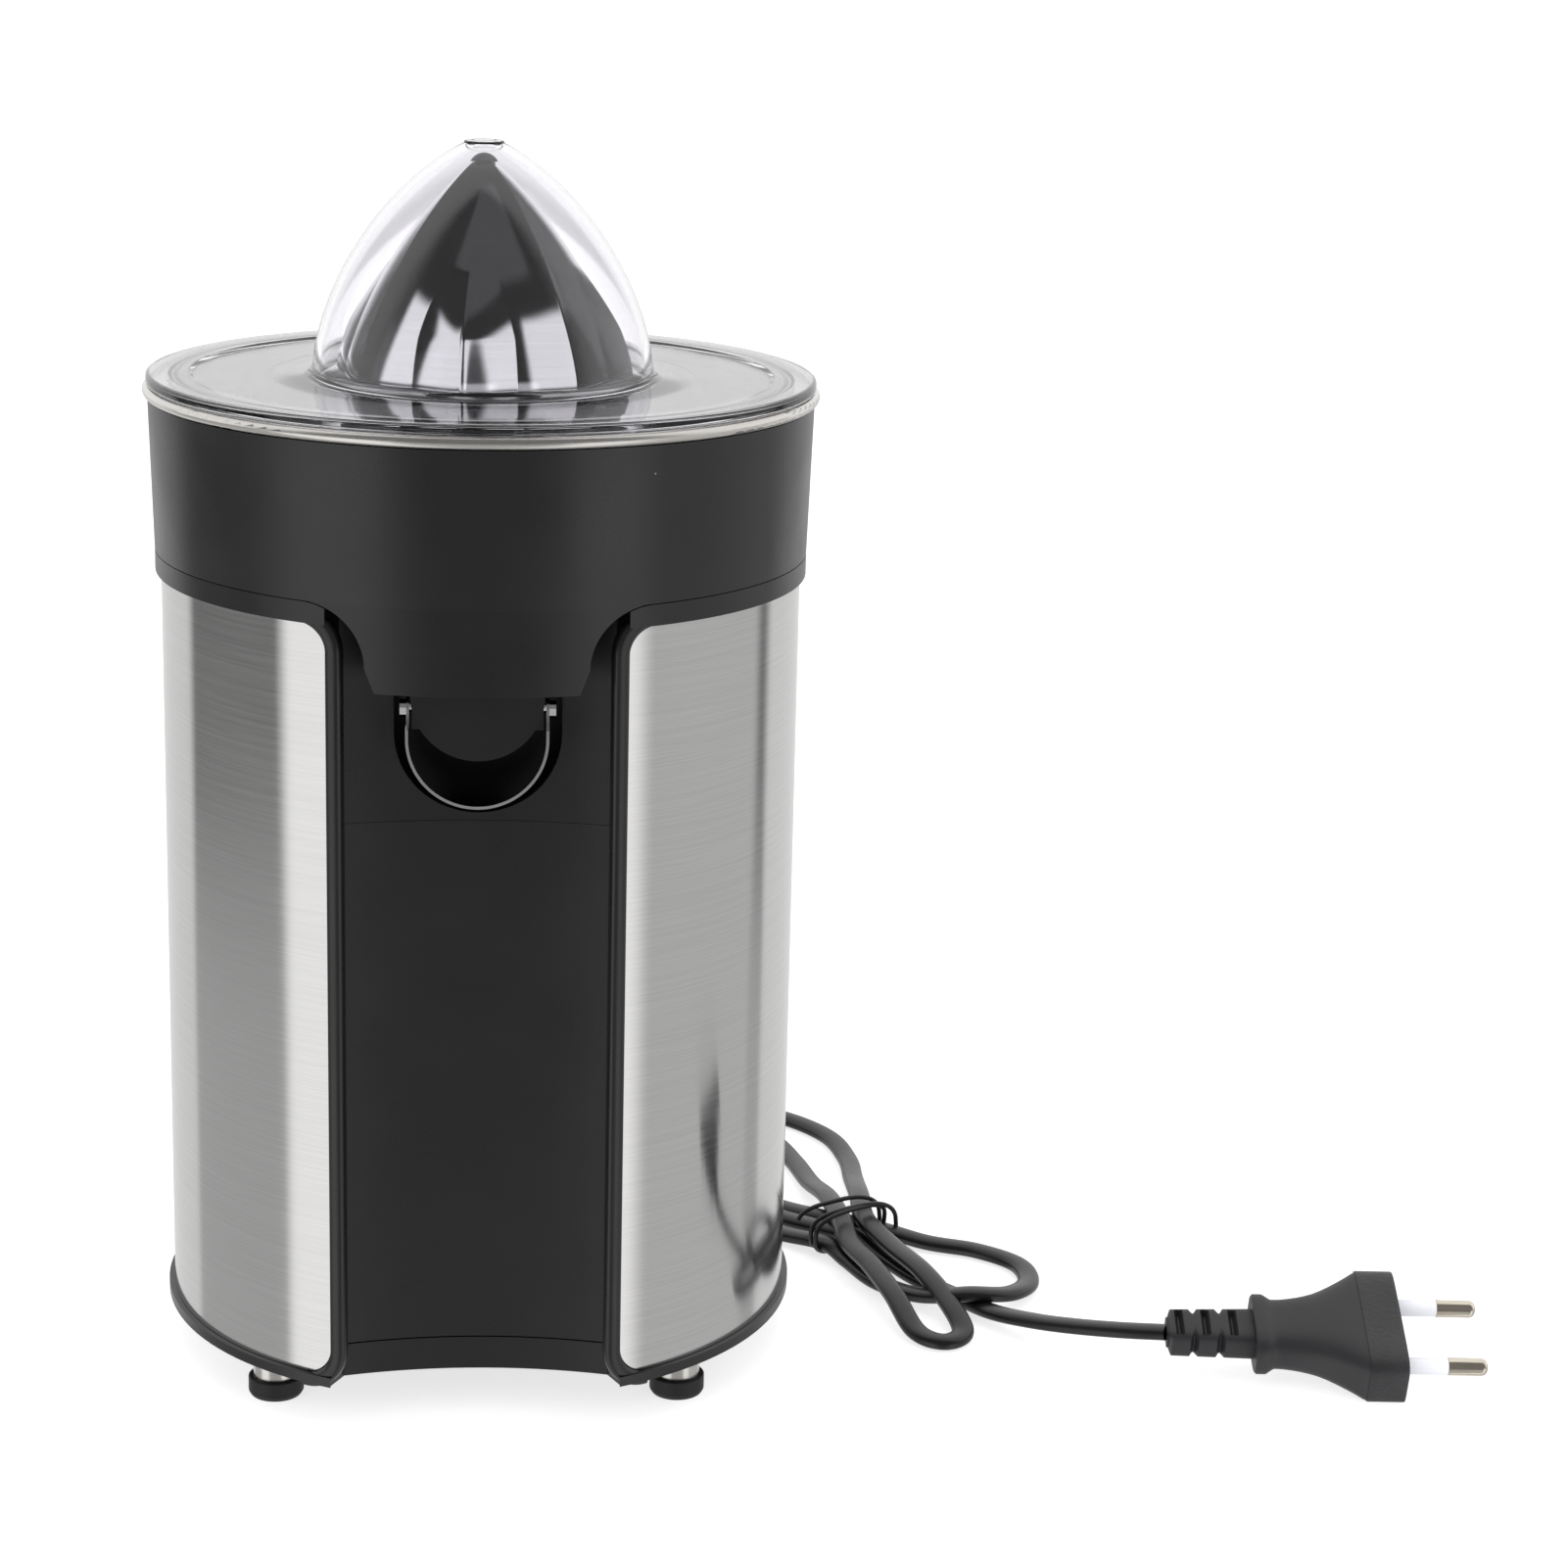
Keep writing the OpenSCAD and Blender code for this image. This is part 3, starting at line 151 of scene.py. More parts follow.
# ground metal: long streaks across the other axes, in colour, roughness and bump
def groundFinish(name, color, rough, streak, bump, swing=0.1, anisotropy=0.0, turn=0.0):
    material, tree, shader = newMaterial(name)
    setInputs(shader, Metallic=1.0)
    lines = grainNoise(tree, streak, 4, 0.7)
    cloud = grainNoise(tree, (24, 24, 24), 2)
    dark = tuple(c * (1 - swing) for c in color)
    light = tuple(min(1.0, c * (1 + swing)) for c in color)
    tintFrom(tree, shader, lines, dark, light, 0.25, 0.75)
    both = mathNode(tree, "ADD", mathNode(tree, "MULTIPLY", lines, 0.6),
                    mathNode(tree, "MULTIPLY", cloud, 0.4))
    tree.links.new(remap(tree, both, 0.3, 0.7, rough * 0.8, rough * 1.2), shader.inputs["Roughness"])
    bumpFrom(tree, shader, lines, bump, 0.00002)
    if anisotropy:
        setInputs(shader, **{"Anisotropic": anisotropy, "Anisotropic Rotation": turn})
        tangent = addNode(tree, "ShaderNodeTangent", direction_type="RADIAL", axis="Z")
        tree.links.new(tangent.outputs["Tangent"], shader.inputs["Tangent"])
    return material


def addDust(tree, shader, density=110, share=0.93):
    place = addNode(tree, "ShaderNodeTexCoord")
    cells = addNode(tree, "ShaderNodeTexVoronoi")
    setInputs(cells, Scale=density)
    tree.links.new(place.outputs["Object"], cells.inputs["Vector"])
    split = addNode(tree, "ShaderNodeSeparateColor")
    tree.links.new(cells.outputs["Color"], split.inputs["Color"])
    speck = mathNode(tree, "MULTIPLY", mathNode(tree, "LESS_THAN", cells.outputs["Distance"], 0.022),
                     mathNode(tree, "GREATER_THAN", split.outputs["Red"], share))
    mix = addNode(tree, "ShaderNodeMix", data_type="RGBA")
    tree.links.new(speck, mix.inputs["Factor"])
    old = shader.inputs["Base Color"].links[0].from_socket
    tree.links.new(old, mix.inputs["A"])
    mix.inputs["B"].default_value = (0.16, 0.16, 0.15, 1)
    tree.links.new(mix.outputs["Result"], shader.inputs["Base Color"])


charcoal, charcoalTree, charcoalShader = mouldedFinish("charcoalPlastic", (0.0042, 0.0042, 0.0048), 0.31,
                                                       sheen=1.53)
addDust(charcoalTree, charcoalShader)
innerPlastic, *_ = mouldedFinish("innerPlastic", (0.05, 0.05, 0.055), 0.5)
rubber, *_ = mouldedFinish("blackRubber", (0.006, 0.006, 0.006), 0.62, 1500, 0.3)
cordPvc, *_ = mouldedFinish("cordPvc", (0.0045, 0.0045, 0.0052), 0.33, 900, 0.12)
plugPlastic, *_ = mouldedFinish("plugPlastic", (0.017, 0.017, 0.019), 0.46, 2200, 0.2)
plugGrain, *_ = mouldedFinish("plugGrain", (0.02, 0.02, 0.022), 0.4, 1150, 0.9, 0.3, 0.00016)
whiteSleeve, *_ = mouldedFinish("whiteSleeve", (0.78, 0.79, 0.84), 0.35, 900, 0.05, 0.03)
whiteNylon, *_ = mouldedFinish("whiteNylon", (0.68, 0.65, 0.56), 0.48, 900, 0.1, 0.05)
redPlastic, *_ = mouldedFinish("redPlastic", (0.5, 0.05, 0.03), 0.4)
darkCap, *_ = mouldedFinish("darkCap", (0.02, 0.02, 0.022), 0.3)
motorPaint, *_ = mouldedFinish("motorPaint", (0.24, 0.25, 0.27), 0.45, 700, 0.15)
copperWire = groundFinish("copperWire", (0.62, 0.27, 0.12), 0.35, (60, 60, 3500), 0.5)
zinc = groundFinish("zincScrew", (0.5, 0.51, 0.53), 0.32, (900, 900, 900), 0.2)
bronze = groundFinish("bronzeBush", (0.6, 0.42, 0.2), 0.34, (400, 400, 2000), 0.2)
nickel = groundFinish("nickelPin", (0.72, 0.66, 0.56), 0.16, (120, 1500, 1500), 0.1)
sleeveSteel = groundFinish("sleeveSteel", (0.63, 0.625, 0.62), 0.125, (26, 26, 2600), 0.1, 0.05, 0.85, 0.25)
rimSteel = groundFinish("rimSteel", (0.66, 0.64, 0.61), 0.27, (30, 30, 2400), 0.25, 0.08, 0.5, 0.25)
mirrorSteel = groundFinish("mirrorSteel", (0.74, 0.74, 0.75), 0.07, (25, 25, 1700), 0.05, 0.04)
satinSteel = groundFinish("satinSteel", (0.87, 0.87, 0.88), 0.3, (300, 300, 300), 0.06, 0.03)
troughSteel = groundFinish("troughSteel", (0.66, 0.66, 0.66), 0.16, (900, 25, 900), 0.12, 0.06)


# the trough darkens inwards, where the hood shades it
def shadeInwards(material, front, back, level):
    tree = material.node_tree
    shader = tree.nodes["Principled BSDF"]
    split = addNode(tree, "ShaderNodeSeparateXYZ")
    tree.links.new(addNode(tree, "ShaderNodeTexCoord").outputs["Object"], split.inputs[0])
    share = remap(tree, split.outputs["Y"], front, back, 1.0, level)
    scaled = addNode(tree, "ShaderNodeVectorMath", operation="SCALE")
    tree.links.new(shader.inputs["Base Color"].links[0].from_socket, scaled.inputs[0])
    tree.links.new(share, scaled.inputs["Scale"])
    tree.links.new(scaled.outputs[0], shader.inputs["Base Color"])


troughShade = {"front": -0.0655, "back": -0.040, "level": 0.06}  # along y in metres
shadeInwards(troughSteel, troughShade["front"], troughShade["back"], troughShade["level"])


def clearFinish():
    material, tree, shader = newMaterial("clearPlastic")
    setInputs(shader, **{"Base Color": (0.98, 0.972, 1.0, 1), "IOR": 1.49, "Transmission Weight": 1.0})
    cloud = grainNoise(tree, (45, 45, 45), 3)
    tree.links.new(remap(tree, cloud, 0.3, 0.7, 0.03, 0.042), shader.inputs["Roughness"])
    bumpFrom(tree, shader, cloud, 0.05, 0.00005)
    return material


clearPlastic = clearFinish()

finishOf = {"charcoal_plastic": charcoal, "hidden_plastic": innerPlastic, "rubber": rubber,
            "brushed_steel": rimSteel, "polished_steel": mirrorSteel, "zinc_screw": zinc,
            "bronze_bush": bronze, "motor_steel": motorPaint, "copper": copperWire,
            "white_nylon": whiteNylon, "red_plastic": redPlastic, "dark_cap": darkCap,
            "clear_plastic": clearPlastic, "cord_pvc": cordPvc, "plug_plastic": plugPlastic,
            "white_sleeve": whiteSleeve, "nickel": nickel}


def dressNodes():
    for row in frame["record"]["subparts"]:
        node = frame["nodes"][row["node"]]
        node.data.materials.clear()
        node.data.materials.append(finishOf[row["material_slot"]])
    frame["nodes"]["spout_trough"].data.materials[0] = troughSteel
    frame["nodes"]["strainer"].data.materials[0] = satinSteel


dressNodes()
print("finishes made:", len(bpy.data.materials))


# a grid of points, in millimetres, becomes a closed mesh: doubled points at seams and
# poles are merged, faces are turned outwards, and edges sharper than the angle stay sharp
def gridPiece(name, points, finish, body, stands=(), wrapU=False, wrapV=False,
              caps=False, sharp=38):
    u, v = points.shape[:2]
    rows = np.arange(u if wrapU else u - 1)
    columns = np.arange(v if wrapV else v - 1)
    i, j = np.meshgrid(rows, columns, indexing="ij")
    i2, j2 = (i + 1) % u, (j + 1) % v
    faces = np.stack([i * v + j, i2 * v + j, i2 * v + j2, i * v + j2], -1).reshape(-1, 4).tolist()
    if caps:
        faces += [list(range(v)), list(range((u - 1) * v, u * v))[::-1]]
    return meshPiece(name, points.reshape(-1, 3), faces, finish, body, stands, sharp)


def meshPiece(name, points, faces, finish, body, stands=(), sharp=38):
    mesh = bpy.data.meshes.new(name)
    mesh.from_pydata((points * mm).tolist(), [], faces)
    work = bmesh.new()
    work.from_mesh(mesh)
    bmesh.ops.remove_doubles(work, verts=work.verts, dist=2e-7)
    bmesh.ops.delete(work, geom=[e for e in work.edges if not e.link_faces], context="EDGES")
    bmesh.ops.recalc_face_normals(work, faces=work.faces)
    work.to_mesh(mesh)
    work.free()
    mesh.shade_smooth()
    mesh.set_sharp_from_angle(angle=math.radians(sharp))
    mesh.materials.append(finish)
    piece = bpy.data.objects.new(name, mesh)
    bpy.context.scene.collection.objects.link(piece)
    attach(piece, body)
    if stands:
        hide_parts(*stands)
    return piece


# a closed outline whose corners become arcs of the given radii, with a point held
# a little way along each straight side so that the shading of the flats stays even
def roundCorners(corners, radii, steps=6):
    p = np.array(corners, float)
    r = np.broadcast_to(np.array(radii, float), (len(p),))
    back, ahead = np.roll(p, 1, 0) - p, np.roll(p, -1, 0) - p
    backLength, aheadLength = (np.linalg.norm(a, axis=1, keepdims=True) for a in (back, ahead))
    back, ahead = back / backLength, ahead / aheadLength
    half = np.arccos(np.clip((back * ahead).sum(1, keepdims=True), -1, 1)) / 2
    reach = np.minimum(np.minimum(r[:, None] / np.tan(half), 0.46 * backLength), 0.46 * aheadLength)
    radius = reach * np.tan(half)
    middle = back + ahead
    size = np.maximum(np.linalg.norm(middle, axis=1, keepdims=True), 1e-9)
    centre = p + middle / size * radius / np.sin(half)
    first, last = p + back * reach - centre, p + ahead * reach - centre
    total = np.maximum(math.pi - 2 * half, 1e-4)[:, :, None]
    t = np.linspace(0, 1, steps)[None, :, None]
    arc = centre[:, None] + (np.sin((1 - t) * total) * first[:, None]
                             + np.sin(t * total) * last[:, None]) / np.sin(total)
    before = (p + back * np.minimum(reach * 1.7, 0.49 * backLength))[:, None]
    after = (p + ahead * np.minimum(reach * 1.7, 0.49 * aheadLength))[:, None]
    return np.concatenate([before, arc, after], 1).reshape(-1, 2)


# an outline of radius and height, carried round the drive axis
def revolve(outline, steps=192):
    a = np.linspace(0, 2 * np.pi, steps, endpoint=False)[:, None]
    r, z = outline[None, :, 0], outline[None, :, 1]
    return np.stack([r * np.cos(a), r * np.sin(a), z + 0 * a], -1)


def unit(v):
    return v / np.maximum(np.linalg.norm(v, axis=-1, keepdims=True), 1e-12)


# a smooth curve through the points: cubic pieces whose slopes come from the neighbours
def smoothPath(points, steps):
    p = np.concatenate([2 * points[:1] - points[1:2], points, 2 * points[-1:] - points[-2:-1]])
    a, b, c, d = p[:-3, None], p[1:-2, None], p[2:-1, None], p[3:, None]
    t = np.linspace(0, 1, steps, endpoint=False)[None, :, None]
    curve = 0.5 * (2 * b + (c - a) * t + (2 * a - 5 * b + 4 * c - d) * t ** 2
                   + (3 * b - 3 * c + d - a) * t ** 3)
    return np.concatenate([curve.reshape(-1, 3), points[-1:]])


# a section, across and up, carried along a path and kept level, then twisted by degrees
def sweep(path, section, twist=0.0, level=(0, 0, 1)):
    along = unit(np.gradient(path, axis=0))
    across = unit(np.cross(along, level))
    up = np.cross(across, along)
    t = np.radians(np.broadcast_to(twist, (len(path),)))[:, None]
    across, up = across * np.cos(t) + up * np.sin(t), up * np.cos(t) - across * np.sin(t)
    return (path[:, None] + across[:, None] * section[None, :, :1] + up[:, None] * section[None, :, 1:])


# a rounded section: each coordinate is half the size times the cosine or sine to the power of square
def ovalSection(wide, thick, sides, square=0.8):
    a = np.linspace(0, 2 * np.pi, sides, endpoint=False)
    c, s = np.cos(a), np.sin(a)
    return np.stack([wide / 2 * np.sign(c) * np.abs(c) ** square,
                     thick / 2 * np.sign(s) * np.abs(s) ** square], 1)


# the lead is flat: its sizes and exit in millimetres, its nominal length in metres
cord = {"wide": 5.2, "thick": 3.2, "exit": (0, 96, 21), "length": 0.9, "steps": 9, "sides": 24}
# the lead's route in millimetres: down to the floor behind the body, five runs
# through the tie with loops on both sides, and on to the plug
cordRoute = np.array([
    [0, 96, 21], [0, 106, 20], [3, 119, 12], [10, 132, 4], [22, 140, 1.8], [40, 144, 1.8],
    [60, 140, 1.8], [78, 130, 1.8], [90, 115, 1.8], [94, 97, 2.2], [94, 78, 4], [94, 60, 6.4],
    [94, 43, 7], [99, 27, 6.6], [105, 11, 6.6], [110, -4, 4.4], [112, -15, 2], [107, -20, 1.8],
    [101, -15, 2.4], [97, -1, 5.6], [93, 14, 6.8], [89, 28, 6.8], [88, 43, 7], [86, 60, 6.2],
    [83, 78, 3], [80, 96, 1.8], [75, 112, 1.8], [66, 122, 1.8], [56, 122, 1.8], [50, 112, 1.8],
    [51, 99, 1.8], [57, 86, 1.8], [66, 73, 1.8], [77, 60, 2.6], [96, 47, 3.3], [109, 40, 2],
    [121, 35, 1.8], [130, 26, 1.8], [131, 14, 2.2], [125, 3, 4], [115, -1, 5.6], [104, 4, 3.2],
    [95, 15, 1.9], [89, 27, 2.4], [84, 36, 3.3], [74, 45, 2.2], [62, 54, 1.8], [49, 63, 1.8],
    [37, 72, 1.8], [31, 83, 1.8], [36, 93, 1.8], [46, 92, 1.8], [54, 81, 1.8], [64, 68, 1.8],
    [75, 55, 2.4], [90, 41.5, 3.3], [98, 29, 2.2], [105, 17, 1.8], [113, 6, 2], [120, -6, 3.2],
    [128, -15.5, 5.1], [136, -23, 7], [146, -30, 9], [156, -34, 10.15]], float)


def buildCord(c):
    path = smoothPath(cordRoute, c["steps"])
    points = sweep(path, ovalSection(c["wide"], c["thick"], c["sides"]))
    piece = gridPiece("powerCord", points, cordPvc, "base", ("power_cord",),
                      wrapV=True, caps=True, sharp=60)
    length = np.linalg.norm(np.diff(path, axis=0), axis=1).sum() * mm
    print("cord length %.3f m" % length)
    return piece, path * mm


cordPiece, cordPath = buildCord(cord)

# wire tie: turns round the bundle of runs and ends in two twisted tails
tie = {"at": (90, 41.5, 5.7), "turn": 35, "half": 11.6, "rise": 5.0, "wire": 1.15, "turns": 2.6}


def buildTie(t):
    across = np.array([math.cos(math.radians(t["turn"])), math.sin(math.radians(t["turn"])), 0])
    along = np.array([-across[1], across[0], 0])
    a = np.linspace(-0.9, -0.9 + 2 * np.pi * t["turns"], 150)[:, None]
    c, s = np.cos(a), np.sin(a)
    swell = 1 + 0.05 * np.sin(a * 0.61 + 1)
    ring = (np.array(t["at"]) + across * t["half"] * swell * np.sign(c) * np.abs(c) ** 0.7
            + np.array([0, 0, 1]) * t["rise"] * swell * np.sign(s) * np.abs(s) ** 0.7
            + along * (2.6 * np.sin(a * 0.5) + 0.5 * a - 3.5))
    ring[:, 2] = np.maximum(ring[:, 2], t["wire"] / 2 + 0.05)
    level = unit(np.cross(np.gradient(ring, axis=0), along))
    return gridPiece("wireTie", sweep(ring, ovalSection(t["wire"], t["wire"], 10, 1), 0, level),
                     cordPvc, "base", ("cord_tie",), wrapV=True, caps=True, sharp=60)


tiePiece = buildTie(tie)

# plug: x runs from the lead's end of the relief to the face, y across, z through
plug = {"at": (156, -34, 10.15), "heading": -3, "roll": 21, "relief": 20, "face": 53,
        "pinRadius": 2.0, "pitch": 18.6, "pinLength": 19, "sleeve": 10}


def onPlug(points):
    h, r = math.radians(plug["heading"]), math.radians(plug["roll"])
    turn = (Matrix.Rotation(h, 3, "Z") @ Matrix.Rotation(r, 3, "X"))
    return points @ np.array(turn).T + np.array(plug["at"])


# rounded sections along the plug, each x, width, thickness and squareness
def plugLoft(name, sections, finish, stands=(), sides=64, sharp=32):
    s = np.array(sections, float)
    a = np.linspace(0, 2 * np.pi, sides, endpoint=False)[None]
    c, q = np.cos(a), np.sin(a)
    e = s[:, 3:4]
    points = np.stack([s[:, :1] + 0 * a, s[:, 1:2] / 2 * np.sign(c) * np.abs(c) ** e,
                       s[:, 2:3] / 2 * np.sign(q) * np.abs(q) ** (e * 1.1)], -1)
    ends = points[[0, -1]].mean(1, keepdims=True) + 0 * points[[0, -1]]
    points = np.concatenate([ends[:1], points, ends[1:]])
    return gridPiece(name, onPlug(points), finish, "base", stands, wrapV=True, sharp=sharp)


def buildPlug():
    # relief: full width, but narrow where the two side notches are, thin where the top slots are
    x = np.linspace(0, plug["relief"], 201)
    notch = sum(np.clip(1.2 - np.abs(x - m) / 0.8, 0, 1) for m in (6.1, 12.1))
    slotCut = sum(np.clip(1.2 - np.abs(x - m) / 0.85, 0, 1) for m in (2.8, 8.8, 15.0))
    soft = np.clip(np.minimum(x, 1.0), 0.35, 1) ** 0.4
    wide = (9.8 + 0.07 * x) * soft * (1 - 0.3 * np.minimum(notch, 1))
    a = np.linspace(0, 2 * np.pi, 72, endpoint=False)[None]
    c, q = np.cos(a), np.sin(a)
    y = wide[:, None] / 2 * np.sign(c) * np.abs(c) ** 0.42
    z = 3.6 * soft[:, None] * np.sign(q) * np.abs(q) ** 0.42
    inSlot = (np.abs(y) < 3.9) * np.minimum(slotCut, 1)[:, None]
    z = z * (1 - 0.45 * inSlot)
    points = np.stack([x[:, None] + 0 * a, y, z], -1)
    ends = points[[0, -1]].mean(1, keepdims=True) + 0 * points[[0, -1]]
    relief = gridPiece("plugRelief", onPlug(np.concatenate([ends[:1], points, ends[1:]])), plugPlastic,
                       "base", ("plug_relief",), wrapV=True, sharp=30)
    body = plugLoft("plugBody", [
        (19.6, 10.5, 7.2, 0.5), (19.7, 18.2, 10.6, 0.5), (20.1, 19.2, 11.2, 0.5), (22.1, 19.2, 11.2, 0.5),
        (22.5, 18.8, 11.0, 0.5), (23.9, 16.9, 10.4, 0.55), (24.3, 16.6, 10.2, 0.55), (26, 16.7, 10.2, 0.55),
        (28, 17.2, 10.4, 0.55), (30, 18.0, 10.7, 0.56), (32, 19.2, 11.1, 0.58), (34, 20.8, 11.5, 0.6),
        (36, 22.8, 11.9, 0.58), (38, 25.0, 12.3, 0.54), (40, 27.4, 12.7, 0.5), (42, 29.9, 12.9, 0.44),
        (43.6, 32.0, 13.0, 0.38), (44.2, 32.4, 13.0, 0.34), (44.5, 30.0, 11.5, 0.34)],
        plugPlastic, ("plug_body",))
    block = plugLoft("plugEndBlock", [
        (44.2, 31.6, 12.6, 0.32), (44.25, 32.8, 13.3, 0.32), (44.5, 33.0, 13.4, 0.32), (46, 33.0, 13.4, 0.32),
        (52, 33.0, 13.4, 0.32), (52.6, 33.0, 13.4, 0.32), (52.95, 32.7, 13.1, 0.32), (53, 32.2, 12.6, 0.32)],
        plugGrain)
    return [relief, body, block]


# pins: white sleeve, then bare metal with a domed tip
def buildPins(p):
    made = []
    r, tip = p["pinRadius"], p["pinLength"]
    a = np.linspace(0, 2 * np.pi, 40, endpoint=False)[:, None]
    t = np.linspace(0, 1, 8)
    dome = np.stack([tip - 1.5 + 1.5 * np.sin(t * np.pi / 2), r - 1.5 + 1.5 * np.cos(t * np.pi / 2)], 1)
    metal = np.concatenate([[[p["sleeve"], 0], [p["sleeve"], r]], dome, [[tip, 0]]])
    white = roundCorners([[-0.3, 0], [p["sleeve"], 0], [p["sleeve"], r - 0.08], [-0.3, r - 0.08]],
                         [0, 0, 0.15, 0], 4)
    for side, letter in ((-1, "A"), (1, "B")):
        for outline, finish, slotName, node, word in (
                (white, whiteSleeve, "white_sleeve", "plug_sleeves", "Sleeve"),
                (metal, nickel, "nickel", "plug_pins", "Tip")):
            x, rr = outline[None, :, 0] + p["face"], outline[None, :, 1]
            points = np.stack([x + 0 * a, rr * np.cos(a) + side * p["pitch"] / 2, rr * np.sin(a)], -1)
            stands = (node,) if side == -1 else ()
            made.append(gridPiece("pin" + word + letter, onPlug(points), finish, "base", stands,
                                  wrapU=True, wrapV=outline is white, sharp=40))
    return made


plugPieces = buildPlug() + buildPins(plug)
print("mains lead laid")

# the sleeve is a sheet bent round the body, its corners beside the column rounded
sleeve = {"radius": 70.3, "sheet": 0.5, "low": 13.2, "high": 179.5, "half": 31.2, "corner": 6.0}


# at each angle the sheet reaches from its lower to its upper edge, drawn in near the ends by
# the corner's circle; the section goes up the outside, over the edge and down the inside
def buildSleeve(s):
    edge = math.asin(s["half"] / s["radius"])
    near = s["corner"] / s["radius"] * 1.15
    bend = near * (1 - np.cos(np.linspace(0, np.pi / 2, 18)))
    middle = np.linspace(edge + near, 2 * np.pi - edge - near, 200)
    a = np.concatenate([edge + bend, middle[1:-1], (2 * np.pi - edge - bend)[::-1]])
    inTo = np.minimum(np.minimum(a - edge, 2 * np.pi - edge - a) * s["radius"] * math.cos(edge), s["corner"])
    cut = s["corner"] - np.sqrt(np.maximum(s["corner"] ** 2 - (s["corner"] - inTo) ** 2, 0))
    low, high = s["low"] + cut, s["high"] - cut
    lip = 0.12
    t = np.concatenate([[0, 0.0012], np.linspace(0.04, 0.96, 12), [0.9988, 1]])
    z = low[:, None] + lip + (high - low - 2 * lip)[:, None] * t
    outer, inner = s["radius"], s["radius"] - s["sheet"]
    r = np.concatenate([[outer - lip], np.full(len(t), outer), [outer - lip, inner + lip],
                        np.full(len(t), inner), [inner + lip]])
    heights = np.concatenate([low[:, None], z, high[:, None], high[:, None], z[:, ::-1], low[:, None]], 1)
    x, y = np.sin(a)[:, None] * r, -np.cos(a)[:, None] * r
    return gridPiece("steelSleeve", np.stack([x, y, heights], -1), sleeveSteel, "base",
                     ("steel_sleeve",), wrapV=True, caps=True, sharp=30)


buildSleeve(sleeve)
print("sleeve bent")

# soft rails beside the sleeve's edges: up from the lip, round both corners of the sheet, to the ring
rail = {"radius": 69.6, "wide": 3.6, "thick": 3.3, "gap": 1.75, "reach": 17}


def buildRails(s, sheet):
    edge = sheet["radius"] * math.asin(sheet["half"] / sheet["radius"]) - s["gap"]
    top, foot, turn = sheet["high"] + s["gap"], sheet["low"] - s["gap"], sheet["corner"] + s["gap"]
    line = roundCorners([[edge + s["reach"], foot], [edge, foot], [edge, top], [edge + s["reach"], top],
                         [edge + 60, (top + foot) / 2]], [0, turn, turn, 0, 0], 14)
    keep = (line[:, 0] < edge + s["reach"] - 0.5) & ((line[:, 1] > top - 20) | (line[:, 1] < foot + 20))
    line = line[keep]
    start = np.argmin(np.where(line[:, 1] < foot + 1, -line[:, 0], 99))
    line = np.roll(line, -start, 0)
    dive = np.clip((line[:, 0] - edge - s["reach"] + 6) / 6, 0, 1) * 2
    for side, letter in ((-1, "Left"), (1, "Right")):
        a = side * line[:, :1] / sheet["radius"]
        out = np.concatenate([np.sin(a), -np.cos(a), 0 * a], 1)
        path = out * (s["radius"] - dive[:, None])
        path[:, 2] = line[:, 1]
        gridPiece("rail" + letter, sweep(path, ovalSection(s["wide"], s["thick"], 24, 0.75), 0, out),
                  charcoal, "base", wrapV=True, caps=True, sharp=60)


buildRails(rail, sleeve)
print("rails run")

# the reamer has four long ribs to the tip and four short ones that reach half way up
reamer = {"radius": 32.8, "foot": 222.6, "height": 46.5, "share": 0.965, "flute": 2.9, "wall": 1.2,
          "longRibs": 4, "phase": 127.7, "shortStart": 0.52}


# radius at share u of the height is a blunt ogive; each flute is cut in by a share of it that
# vanishes at the ribs, and the short ribs fade out towards their start
def reamerRadius(u, a, s, radius):
    cone = np.maximum(1 - u ** 1.45, 0) ** 0.8
    turn = (a - math.radians(s["phase"])) * s["longRibs"] / 2
    longRib = 1 - np.abs(np.sin(turn)) ** 0.85
    shortRib = 1 - np.abs(np.cos(turn)) ** 0.7
    fade = np.clip((s["shortStart"] - u) / 0.3, 0, 1) ** 0.7
    ridge = np.maximum(longRib ** 1.15, fade * shortRib ** 1.15)
    return radius * cone - s["flute"] * cone ** 0.6 * (1 - ridge)


def buildReamer(s):
    a = np.linspace(0, 2 * np.pi, 481)[:-1][:, None]
    u = s["share"] * np.sin(np.linspace(0, np.pi / 2, 70))[None]
    outer = reamerRadius(u, a, s, s["radius"])
    inner = np.maximum(outer - s["wall"], 0)
    z = s["foot"] + s["height"] * u + 0 * a
    flatTop = np.zeros((len(a), 1))
    r = np.concatenate([outer, flatTop, flatTop, inner[:, ::-1]], 1)
    h = np.concatenate([z, z[:, -1:], z[:, -1:] - s["wall"], z[:, ::-1] - s["wall"] * 0.6], 1)
    h[:, -1] = s["foot"]
    points = np.stack([r * np.cos(a), r * np.sin(a), h], -1)
    return gridPiece("reamerShell", points, mirrorSteel, "reamer", ("reamer_shell",),
                     wrapU=True, wrapV=True, sharp=60)


buildReamer(reamer)
print("reamer fluted")

# the clear lid: dome with a thick button, flat plate, raised ring and a locating skirt
lid = {"seat": 220.2, "radius": 72.9, "ringTop": 222.5, "ringIn": 63.6, "plate": 1.6, "dome": 37.36,
       "domeHeight": 53.1, "button": 4.4, "top": 272.5, "skirt": (66.3, 67.7), "skirtDrop": 4}


# the dome's radius at share u of its height is (1 - u^1.8)^0.7 of the radius at its foot
def domeOutline(radius, height, seat, fromZ, toZ, steps=48):
    first, last = (fromZ - seat) / height, (toZ - seat) / height
    u = first + (last - first) * np.sin(np.linspace(0, np.pi / 2, steps))
    return np.stack([radius * np.maximum(1 - u ** 1.8, 0) ** 0.7, seat + height * u], 1)


